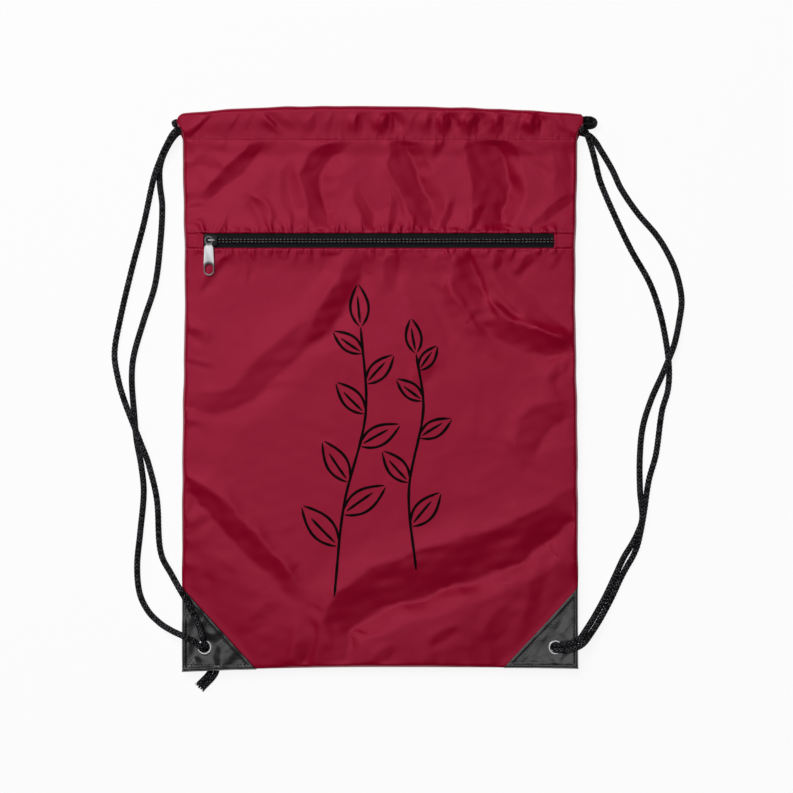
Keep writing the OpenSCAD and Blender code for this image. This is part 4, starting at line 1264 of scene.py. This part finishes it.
class BACKPACK_OT_panels(bpy.types.Operator):
    """Adds the front, yoke and back cloth, the strips beside the zipper and the pocket's lining"""

    bl_idname = "backpack.panels"
    bl_label = "Cloth panels"

    def execute(self, context):
        pitch = context.scene.backpack_sizes.panel_grid / MM
        self.front(pitch)
        self.yoke(pitch * 0.6)
        self.zipper_ends(0.8)
        self.back(pitch * 1.2)
        self.lining(4, 3)
        return {"FINISHED"}

    def cut(self, xs, ys, fine):
        """A grid, finer where fine(x, y) holds and cut away at the eyelets."""
        flat, cells = refined(*grid(xs, ys), fine)
        return without(flat, cells, near_eyelets(flat[:, 0], flat[:, 1], EYELET_HOLE))

    def front(self, pitch):
        flat, cells = self.cut(
            steps(-HALF_W, HALF_W, pitch),
            steps(BOTTOM_Y, WINDOW_LOW_Y, pitch),
            lambda x, y: (y > WINDOW_LOW_Y - 12)
            | (edge_distance(x, y) < 6)
            | near_eyelets(x, y, EYELET_NEAR)
            | (bending(front_height, x, y) > BENT),
        )
        piece = cloth_piece("front_cloth_panel", flat, cells, front_height, "front_cloth")
        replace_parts(piece, "front_panel")

    def yoke(self, pitch):
        flat, cells = grid(steps(-HALF_W, HALF_W, pitch), steps(WINDOW_HIGH_Y, STITCH_Y, pitch))
        flat, cells = refined(flat, cells, lambda x, y: y < WINDOW_HIGH_Y + 7)
        piece = cloth_piece("yoke_cloth_panel", flat, cells, front_height, "front_cloth")
        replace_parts(piece, "yoke_panel")

    def zipper_ends(self, pitch):
        for name, x0, x1 in (("left", -HALF_W, ZIP_X0), ("right", ZIP_X1, HALF_W)):
            flat, cells = grid(steps(x0, x1, pitch), steps(WINDOW_LOW_Y, WINDOW_HIGH_Y, pitch))
            piece = cloth_piece(f"zipper_end_{name}_cloth", flat, cells, front_height, "front_cloth")
            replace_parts(piece, f"zipper_end_{name}")

    def back(self, pitch):
        flat, cells = self.cut(
            steps(-HALF_W, HALF_W, pitch),
            steps(BOTTOM_Y, STITCH_Y, pitch),
            lambda x, y: near_eyelets(x, y, EYELET_NEAR) | (y > STITCH_Y - 9),
        )
        piece = cloth_piece("back_cloth_panel", flat, cells, back_height, "back_cloth", side=-1)
        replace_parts(piece, "back_panel")

    def lining(self, across, along):
        """Lies low behind the pocket and rises to the yoke at its upper edge."""
        half = HALF_W - LINING_IN
        flat, cells = self.cut(
            steps(-half, half, across),
            steps(BOTTOM_Y + LINING_IN, LINING_END_Y, along),
            lambda x, y: near_eyelets(x, y, 12),
        )

        def height(x, y):
            low = SEAM_Z + 0.6 + 0.12 * facets(x, y, 24, 40)
            high = front_height(np.clip(x, -half, half), np.maximum(y, WINDOW_HIGH_Y + 1)) - 1.0
            up = eased((y - (LINING_END_Y - 16)) / 10)
            return low + up * np.maximum(high - low, 0)

        piece = cloth_piece("pocket_lining_cloth", flat, cells, height, "lining_cloth")
        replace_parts(piece, "pocket_lining")


# ---------- hems ----------

# The hems' gathers: (x, width of the drop, lean, steepness)
HEM_GATHERS = [
    (-149, 6, 0.95, 0.14), (-122, 4, 0.6, 0.1), (-110, 5, 0.5, 0.06), (-87, 8, -0.9, 0.22),
    (-72, 5, -0.3, 0.06), (-56, 8, 0.2, 0.11), (-42, 6, 0.3, 0.09), (-30, 4, 0.2, 0.06), (-18, 9, 0, 0.26),
    (7, 14, 0, 0.27), (27, 5, 0.3, 0.08), (41, 9, 0.1, 0.18), (56, 11, -0.1, 0.34), (78, 13, 0.15, 0.27),
    (100, 9, 0, 0.22), (114, 6, 0.2, 0.1), (129.5, 12, 0, 0.32), (142, 7, -0.3, 0.1), (153, 5, -0.3, 0.1),
]
BACK_GATHERS = [
    (-140, 7, 0.4, 0.2), (-104, 8, -0.3, 0.2), (-72, 6, 0.2, 0.2), (-38, 9, 0, 0.2), (-8, 6, 0.2, 0.2),
    (24, 8, -0.2, 0.2), (61, 7, 0.1, 0.2), (92, 9, 0, 0.2), (120, 6, -0.2, 0.2), (146, 6, 0.3, 0.2),
]
HEM_STEP, HEM_PLACES = 0.8, 22  # mm between a hem's sections, and the points up the outside of each
HIGH_SHARE, LOW_SHARE = 0.55, 0.45  # shares of a gather's drop above and below the cloth round it
DEEPEST = -1.4  # mm that the front hem's gathers may go below the cloth round them
HEM_TURN = 0.135  # share of a hem's height that its rounded top takes up


def hem_section(count):
    """Places round a hem's section as (share of its height, share of its depth), from its stitching up
    its outside, over the top and down its inside."""
    straight = 1 - HEM_TURN
    round_top = np.linspace(0.25, math.pi - 0.25, 10)
    outside = [(t, 0) for t in np.linspace(0, straight, count)]
    top = [(1 - HEM_TURN * (1 - math.sin(a)), (1 - math.cos(a)) / 2) for a in round_top]
    inside = [(t, 1) for t in np.linspace(straight, 0.03, count // 2)]
    return np.array(outside + top + inside)


def hem_top(x):
    """Y of the hem's top edge, bowed and a little uneven."""
    away = np.where(x < -33, (x + 33) / 136, (x + 33) / 202)
    return TOP_Y - 3.2 + 6.8 * (1 - np.abs(away) ** 2.4) + 0.25 * ripple(x, 71, 30)


def hem_round(x, width, height):
    """How far a hem's corner, width across and height up, cuts in at x."""
    t = ramp((np.abs(x) - (HEM_END_X - width)) / width)
    return height * (1 - np.sqrt(1 - t**2))


def hem_rise(x):
    """How far a hem's lower corner slants up beyond the bag's side."""
    return np.where(x < 0, 15, 12.5) * ramp((np.abs(x) - 163) / (HEM_END_X - 163)) ** 1.1


def gathers(x, y, places):
    """Height that a row of upright gathers adds to a hem."""
    middle = STITCH_Y + 11
    total = np.zeros(np.broadcast(x, y).shape)
    for at, band, lean, steepness in places:
        tall = ramp(1 - ((y - middle) / 10.5) ** 2) ** 0.8
        wide = band * (0.3 + 0.7 * tall)
        d = x - at - lean * (y - middle) + 0.07 * band * wobble(x + 0 * y, y + 0 * x, 97, 9)
        up = ramp((d + wide / 2 + 9) / 9) ** 1.6
        down = ramp((12 + wide / 2 - d) / 12) ** 1.4
        drop = HIGH_SHARE - eased(d / wide + 0.5)
        level = np.where(d < -wide / 2, HIGH_SHARE * up, np.where(d > wide / 2, -LOW_SHARE * down, drop))
        total += steepness * band * tall * level
    return total


class BACKPACK_OT_hems(bpy.types.Operator):
    """Adds the two hems at the mouth that the cords run through"""

    bl_idname = "backpack.hems"
    bl_label = "Hems"

    def execute(self, context):
        self.hem("front_hem", "front_cloth", HEM_HIGH[2] + 0.5, HEM_LOW[2])
        self.hem("back_hem", "back_cloth", 0.15, BACK_HEM_TOP_Z)
        return {"FINISHED"}

    def hem(self, node, kind, outside_z, inside_z):
        """A flattened tube of cloth that grows out of the panel below it at its stitching."""
        front = node == "front_hem"
        way = 1 if front else -1
        xs = steps(-HEM_END_X, HEM_END_X, HEM_STEP)
        share, depth = hem_section(HEM_PLACES).T
        x = np.repeat(xs[:, None], len(share), axis=1)
        low = STITCH_Y - 4 + hem_rise(x)
        high = hem_top(x) - np.where(x < 0, hem_round(x, 6, 5.5), hem_round(x, 2.5, 2.5))
        high = high - (0 if front else 1.6)
        y = low + (high - low) * share
        sewn = np.minimum(y, STITCH_Y)
        joint = (front_height if front else back_height)(np.clip(x, -HALF_W, HALF_W), sewn)
        at_end = ramp((np.abs(x) - 150) / 12)
        swell = eased((share - 0.06) / (0.62 - 0.28 * at_end))
        z = outside_z + (inside_z - outside_z) * depth
        under = 0.3 * (1 - eased((y - low) / 5))
        joined_z = joint + way * (0.04 - under - 1.4 * depth)
        z = joined_z + (z - joined_z) * swell
        facing = (1 - depth) * way
        seed = 51 if front else 55
        puckers = hem_puckers(x, y, seed) - (1 - swell) * hem_puckers(x, sewn, seed)
        if front:
            z += facing * np.maximum(gathers(x, y, HEM_GATHERS), DEEPEST) * swell
            z += facing * 1.7 * share * swell
            z += facing * puckers
        else:
            z += facing * (0.2 * gathers(x, y, BACK_GATHERS)) * swell
            z += facing * puckers * 0.1
            z = np.maximum(z, 0.12)
        n, m = len(share), len(xs)
        i, k = np.meshgrid(np.arange(m - 1), np.arange(n), indexing="ij")
        a, b = i * n + k, i * n + (k + 1) % n
        faces = np.stack([a, a + n, b + n, b], axis=-1).reshape(-1, 4)[:, ::way]
        points = np.stack([x, y, z], axis=-1).reshape(-1, 3)
        cloth = bpy.context.scene.backpack_sizes.cloth
        piece = new_piece(f"{node}_cloth", points, faces, kind, wall=cloth)
        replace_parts(piece, node)


# ---------- corner patches and eyelets ----------

WELT = 3.3  # width of the patches' raised edge along the seams
LEATHER = 0.9 * MM
PATCH_CELLS = 64  # along each of a patch's edges


def patch_grid():
    """Points and triangles of a patch laid flat, from the bag's corner at its origin, with a round hole
    for the eyelet, and each point's distance from the hole's middle."""
    index, flat, cells = {}, [], []
    for i in range(PATCH_CELLS + 1):
        for k in range(PATCH_CELLS + 1 - i):
            index[i, k] = len(flat)
            flat.append((PATCH_W * i / PATCH_CELLS, PATCH_H * k / PATCH_CELLS))
    for i in range(PATCH_CELLS):
        for k in range(PATCH_CELLS - i):
            cells.append([index[i, k], index[i + 1, k], index[i, k + 1]])
            if k < PATCH_CELLS - i - 1:
                cells.append([index[i + 1, k], index[i + 1, k + 1], index[i, k + 1]])
    hole = np.array([HALF_W - EYELET_X, EYELET_Y - BOTTOM_Y])
    flat = np.array(flat)
    flat, cells = without(flat, cells, np.hypot(*(flat - hole).T) < EYELET_R - 1.5)
    off = flat - hole
    far = np.hypot(*off.T)
    drawn = np.where(far < EYELET_R - 0.6, (EYELET_R - 1.0) / far, 1)
    return hole + off * drawn[:, None], cells, far


class BACKPACK_OT_patches(bpy.types.Operator):
    """Adds the leather patches at the bottom corners, and finishes their eyelets"""

    bl_idname = "backpack.patches"
    bl_label = "Corner patches"

    def execute(self, context):
        for side, name in SIDES:
            self.patch(side, f"front_patch_{name}", PATCH_LOW[2] + 1, 1)
            self.patch(side, f"back_patch_{name}", BACK_PATCH_LOW[2], -1)
            for node in (f"eyelet_{name}", f"eyelet_washer_{name}"):
                rounded_copy(node, f"{node}_plated", "nickel", "bag", 0.12)
        return {"FINISHED"}

    def crumples(self, x, y, side):
        """Dents on the right patch; on the left one long slopes away from the lamp and short ones back."""
        if side == RIGHT:
            return 0.3 * facets(x, y, 88, 12) + 0.15 * wobble(x, y, 89, 9)
        run = 0.9 * x - 0.43 * y + 5 * wobble(x, y, 80, 30)
        share = (run / 21) % 1
        return 1.9 * np.where(share < 0.7, 1 - eased(share / 0.7), eased((share - 0.7) / 0.3))

    def patch(self, side, node, outside_z, facing):
        """A triangle of coated leather with a welt along the seams and a folded slanting edge."""
        flat, cells, far = patch_grid()
        u, v = flat[:, 0], flat[:, 1]
        x, y = side * (HALF_W - u), BOTTOM_Y + v
        edge = np.minimum(u, v)
        slant = (1 - u / PATCH_W - v / PATCH_H) / math.hypot(1 / PATCH_W, 1 / PATCH_H)
        free = eased((far - 6.5) / 7)
        welt = 0.85 * eased(edge / 0.9) * eased((WELT + 0.5 - edge) / 1.0)
        groove = 0.3 * bell(edge - WELT - 0.6, 0.5)
        roll = 1.9 * fading(edge, 0.7)
        if facing > 0:
            fold = 0.55 * eased((3.2 - slant) / 0.8) - 0.25 * bell(slant - 3.4, 0.5)
            soft = free * (0.12 * facets(x, y, 83 + side, 7) + 0.35 + self.crumples(x, y, side))
            curl = ramp(1 - (u / PATCH_W + v / PATCH_H) / 0.62) ** 1.3
            curl = free * (3.2 if side == RIGHT else 0.8) * curl
            z = outside_z + (np.maximum(welt, fold) - groove * free - roll + (soft + curl))
        else:
            z = outside_z - (0.3 * welt - groove * free - roll)
            z = z - 0.25 * free * np.abs(facets(x, y, 85 + side, 14))
        points = np.stack([x, bowed(x, y) - 0.4 * np.exp(-v / 2), z], axis=1)
        if side * facing > 0:
            cells = [c[::-1] for c in cells]
        piece = new_piece(f"{node}_leather", points, cells, "patch_leather", wall=LEATHER)
        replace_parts(piece, node)


# ---------- zipper ----------

TAPE_CELL = (6, 0.3)  # distance between the tapes' points along and across
TAPE_WALL = 0.45 * MM
RIB_PITCH, RIB_HEIGHT = 1.5, 0.07
COIL_PITCH, COIL_WIRE = 2.2, 0.42  # coarser than a real coil's turns, so that they show at a distance
COIL_MIDDLE_Y = 1.15  # of the turns, from the zipper's middle
COIL_REACH, COIL_R_Z = 1.5, 1.1  # radius of the turns across and up, to the outside of the wire
COIL_SPREAD = 1.6  # how far the coils lie apart at the slider's end


class BACKPACK_OT_zipper(bpy.types.Operator):
    """Adds the zipper's tapes, coils, slider and pull"""

    bl_idname = "backpack.zipper"
    bl_label = "Zipper"

    def execute(self, context):
        for name, side in (("upper", 1), ("lower", -1)):
            self.tape(name)
            self.coil(name, side)
        rounded_copy("zipper_slider", "zipper_slider_enamelled", "slider_enamel", "slider", 0.3)
        rounded_copy("slider_crown", "slider_crown_plated", "nickel", "slider", 0.05)
        rounded_copy("zipper_pull", "zipper_pull_plated", "pull_nickel", "pull", 0.35)
        return {"FINISHED"}

    def tape(self, name):
        """A woven tape with raised ribs along it, whose outer edge sinks under the cloth."""
        low, high = node_box(f"zipper_tape_{name}")
        flat, cells = grid(*(steps(low[i], high[i], TAPE_CELL[i]) for i in (0, 1)))
        away = np.abs(flat[:, 1] - ZIP_Y)
        ribs = RIB_HEIGHT * np.cos(2 * math.pi * away / RIB_PITCH)
        points = np.column_stack([flat, high[2] - 0.08 + ribs - 3.4 * eased((away - 6.8) / 6)])
        piece = new_piece(f"zipper_tape_{name}_woven", points, cells, "zipper_tape", wall=TAPE_WALL)
        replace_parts(piece, f"zipper_tape_{name}")

    def coil(self, name, side):
        """A filament wound into teeth that lock between the other coil's."""
        low, high = node_box(f"zipper_coil_{name}")
        turns = int((high[0] - low[0]) / COIL_PITCH)
        phase = np.linspace(0, turns, turns * 12 + 1)
        x = low[0] + 0.4 + (phase + (0 if side > 0 else 0.5)) * COIL_PITCH
        spread = COIL_SPREAD * (1 - eased((x - low[0] - 3.5) / 4))
        out = COIL_MIDDLE_Y + (COIL_REACH - COIL_WIRE) * np.cos(2 * math.pi * phase) + spread
        z = TAPE_TOP_Z + COIL_R_Z + (COIL_R_Z - COIL_WIRE) * np.sin(2 * math.pi * phase)
        line = np.stack([x, ZIP_Y + side * out, z], axis=1)
        piece = tube_piece(f"zipper_coil_{name}_wound", [tube(line, COIL_WIRE, 5)], "zipper_coil")
        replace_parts(piece, f"zipper_coil_{name}")


# ---------- stitching ----------

STITCH_GAP = 0.24  # share of a stitch's length between it and the next
HEM_ROW_Y = STITCH_Y + 0.2


def stitch_row(name, places, kind):
    """A row of stitches along places, each a short bowed piece of thread lying on the surface."""
    sizes = bpy.context.scene.backpack_sizes
    length, thick = sizes.stitch / MM, sizes.thread / MM
    line, run = spaced(places, 0.5)
    parts = []
    for start in np.arange(0, run[-1] - length * 0.5, length):
        at = start + length * np.array([STITCH_GAP / 2, 0.3, 0.5, 0.7, 1 - STITCH_GAP / 2])
        if at[-1] > run[-1]:
            break
        points = np.stack([np.interp(at, run, line[:, i]) for i in range(3)], axis=1)
        points[:, 2] += thick * np.array([-0.5, 0.15, 0.3, 0.15, -0.5])
        parts.append(tube(points, thick / 2 * np.array([0.6, 1, 1, 1, 0.6]), 5))
    return tube_piece(name, parts, kind)


def on_surface(tree, x, y, lift, from_z=0.1):
    """Points at x, y that lie lift above a surface, found from a height in m above or below it."""
    found = []
    way = Vector((0, 0, -math.copysign(1, from_z)))
    for px, py in zip(x, y):
        hit = tree.ray_cast(Vector((px * MM, py * MM, from_z)), way)[0]
        if hit is not None:
            found.append((px, py, hit[2] / MM + lift))
    return np.array(found)


def surface_of(*names):
    """A tree for finding the surface of the named pieces."""
    points, faces, start = [], [], 0
    for name in names:
        mesh = bpy.data.objects[name].data
        points += [v.co.copy() for v in mesh.vertices]
        faces += [[i + start for i in p.vertices] for p in mesh.polygons]
        start = len(points)
    return BVHTree.FromPolygons(points, faces)


class BACKPACK_OT_stitching(bpy.types.Operator):
    """Adds the rows of stitches at the hems, beside the zipper and on the patches"""

    bl_idname = "backpack.stitching"
    bl_label = "Stitching"

    def execute(self, context):
        xs = np.arange(-HALF_W + 3, HALF_W - 3, 0.5)
        self.front_rows(xs)
        for side, name in SIDES:
            self.patch_rows(side, name)
        self.back_row(xs)
        return {"FINISHED"}

    def front_rows(self, xs):
        """Rows from side to side: two beside the zipper and one along the front hem."""
        strips = ("zipper_end_left_cloth", "zipper_end_right_cloth")
        front = surface_of("front_cloth_panel", "yoke_cloth_panel", "front_hem_cloth", *strips)
        for name, y in (
            ("stitches_zipper_upper", WINDOW_HIGH_Y + 1.7),
            ("stitches_zipper_lower", WINDOW_LOW_Y - 1.7),
            ("stitches_front_hem", HEM_ROW_Y),
        ):
            stitch_row(name, on_surface(front, xs, np.full(xs.shape, y), 0.05), "thread")

    def back_row(self, xs):
        """The row along the back hem, on its underside and clear of the floor."""
        back = surface_of("back_cloth_panel", "back_hem_cloth")
        places = on_surface(back, xs, np.full(xs.shape, HEM_ROW_Y), -0.1, from_z=-0.05)
        places[:, 2] = np.maximum(places[:, 2], 0.25)
        stitch_row("stitches_back_hem", places, "thread")

    def patch_rows(self, side, name):
        """Three rows on a front patch: beside the welt along each seam, and along the slanting edge."""
        leather = surface_of(f"front_patch_{name}_leather")
        t = np.linspace(0.02, 0.98, 200)
        beside = np.full(t.shape, WELT + 0.55)
        for edge, u, v in (
            ("bottom", t * PATCH_W * 0.95, beside),
            ("side", beside, t * PATCH_H * 0.95),
            ("slant", (1 - t) * (PATCH_W - 5) * 0.985, t * (PATCH_H - 5.5) * 0.985),
        ):
            places = on_surface(leather, side * (HALF_W - u), BOTTOM_Y + v, 0.03)
            stitch_row(f"stitches_patch_{name}_{edge}", places, "black_thread")


# ---------- print ----------

INK_LIFT = 0.11  # from the cloth to the ink's outside, in mm
INK_WALL = 0.05 * MM
LEAF_ANGLE = math.radians(48)
# Each sprig's stem, number of leaves, length and width of a leaf, and the side of its first one
SPRIGS = (
    ([(-38, -172), (-30, -96), (-12, -20), (-16, 52)], 7, 46, 19, 1),
    ([(30, -150), (24, -84), (36, -16), (30, 30)], 5, 38, 16, -1),
)


def leaf(base, angle, length, width):
    """Two strokes of a leaf's outline that nearly meet at its tip, and its midrib."""
    way = np.array([math.cos(angle), math.sin(angle)])
    side = np.array([-way[1], way[0]])
    strokes = []
    for sign in (1, -1):
        t = np.linspace(0.03, 0.96, 14)
        bulge = np.sin(math.pi * t**0.85) * width / 2
        strokes.append(base + way * (t * length)[:, None] + sign * side * bulge[:, None])
    t = np.linspace(0.1, 0.7, 8)
    strokes.append(base + way * (t * length)[:, None] + side * (np.sin(t * 2.5) * width * 0.06)[:, None])
    return strokes


def sprig(stem, leaves, length, width, first):
    """Strokes of a stem with leaves to either side in turn and one at its tip."""
    line = smoothed(stem, 20)
    strokes = [line]
    for i in range(leaves):
        share = 0.2 + 0.72 * i / (leaves - 1)
        at = int(share * (len(line) - 2))
        way = line[at + 1] - line[at]
        angle = math.atan2(way[1], way[0]) + first * (-1) ** i * LEAF_ANGLE
        strokes += leaf(line[at], angle, length * (1.1 - 0.45 * share), width * (1.1 - 0.45 * share))
    way = line[-1] - line[-3]
    return strokes + leaf(line[-1], math.atan2(way[1], way[0]), length * 0.8, width * 0.8)


class BACKPACK_OT_print(bpy.types.Operator):
    """Prints a plain line drawing of two leafy sprigs on the front"""

    bl_idname = "backpack.print"
    bl_label = "Print"

    def execute(self, context):
        width = context.scene.backpack_sizes.ink_line / MM
        cloth = surface_of("front_cloth_panel")
        strokes = [line for drawn in SPRIGS for line in sprig(*drawn)]
        points, faces, _ = joined([self.stroke(cloth, line, width) for line in strokes])
        new_piece("printed_sprigs", points, faces, "ink", wall=INK_WALL, sharp=35)
        return {"FINISHED"}

    def stroke(self, cloth, line, width):
        """Points, faces and no UVs of a brush stroke, thin at its ends, that lies on the cloth."""
        curve = smoothed(line, 4)
        line, run = spaced(np.column_stack([curve, np.zeros(len(curve))]), 1.0)
        way = np.gradient(line[:, :2], axis=0)
        way /= np.linalg.norm(way, axis=1)[:, None]
        side = np.stack([-way[:, 1], way[:, 0]], axis=1)
        taper = np.minimum(1, 0.35 + np.minimum(run, run[-1] - run) / 9)
        half = width / 2 * taper * (1 + 0.12 * ripple(run, 91, 22))
        columns = []
        for share in (-1, -0.5, 0, 0.5, 1):
            place = line[:, :2] + side * (half * share)[:, None]
            columns.append(on_surface(cloth, place[:, 0], place[:, 1], INK_LIFT))
        n = len(columns)
        faces = [
            [i * n + k + 1, i * n + k, (i + 1) * n + k, (i + 1) * n + k + 1]
            for i in range(len(line) - 1)
            for k in range(n - 1)
        ]
        return np.stack(columns, axis=1).reshape(-1, 3), faces, np.empty((0, 2))


class BACKPACK_PT_panel(bpy.types.Panel):
    """Sizes and colours of the backpack, and the operators that build it"""

    bl_idname = "BACKPACK_PT_panel"
    bl_label = "Backpack"
    bl_space_type = "VIEW_3D"
    bl_region_type = "UI"
    bl_category = "Backpack"

    def draw(self, context):
        for group in (context.scene.backpack_sizes, context.scene.backpack_colours):
            for name in group.__annotations__:
                self.layout.prop(group, name)
        for operator in OPERATORS:
            self.layout.operator(operator.bl_idname)


OPERATORS = (
    BACKPACK_OT_stage,
    BACKPACK_OT_cords,
    BACKPACK_OT_panels,
    BACKPACK_OT_hems,
    BACKPACK_OT_patches,
    BACKPACK_OT_zipper,
    BACKPACK_OT_stitching,
    BACKPACK_OT_print,
)
CLASSES = (BackpackSizes, BackpackColours, *OPERATORS, BACKPACK_PT_panel)


def register():
    for item in CLASSES:
        bpy.utils.register_class(item)
    bpy.types.Scene.backpack_sizes = bpy.props.PointerProperty(type=BackpackSizes)
    bpy.types.Scene.backpack_colours = bpy.props.PointerProperty(type=BackpackColours)


def unregister():
    del bpy.types.Scene.backpack_colours
    del bpy.types.Scene.backpack_sizes
    for item in reversed(CLASSES):
        bpy.utils.unregister_class(item)


def main():
    register()
    bpy.ops.backpack.stage()
    bpy.ops.backpack.cords()
    bpy.ops.backpack.panels()
    bpy.ops.backpack.hems()
    bpy.ops.backpack.patches()
    bpy.ops.backpack.zipper()
    bpy.ops.backpack.stitching()
    bpy.ops.backpack.print()


if __name__ == "__main__":
    main()
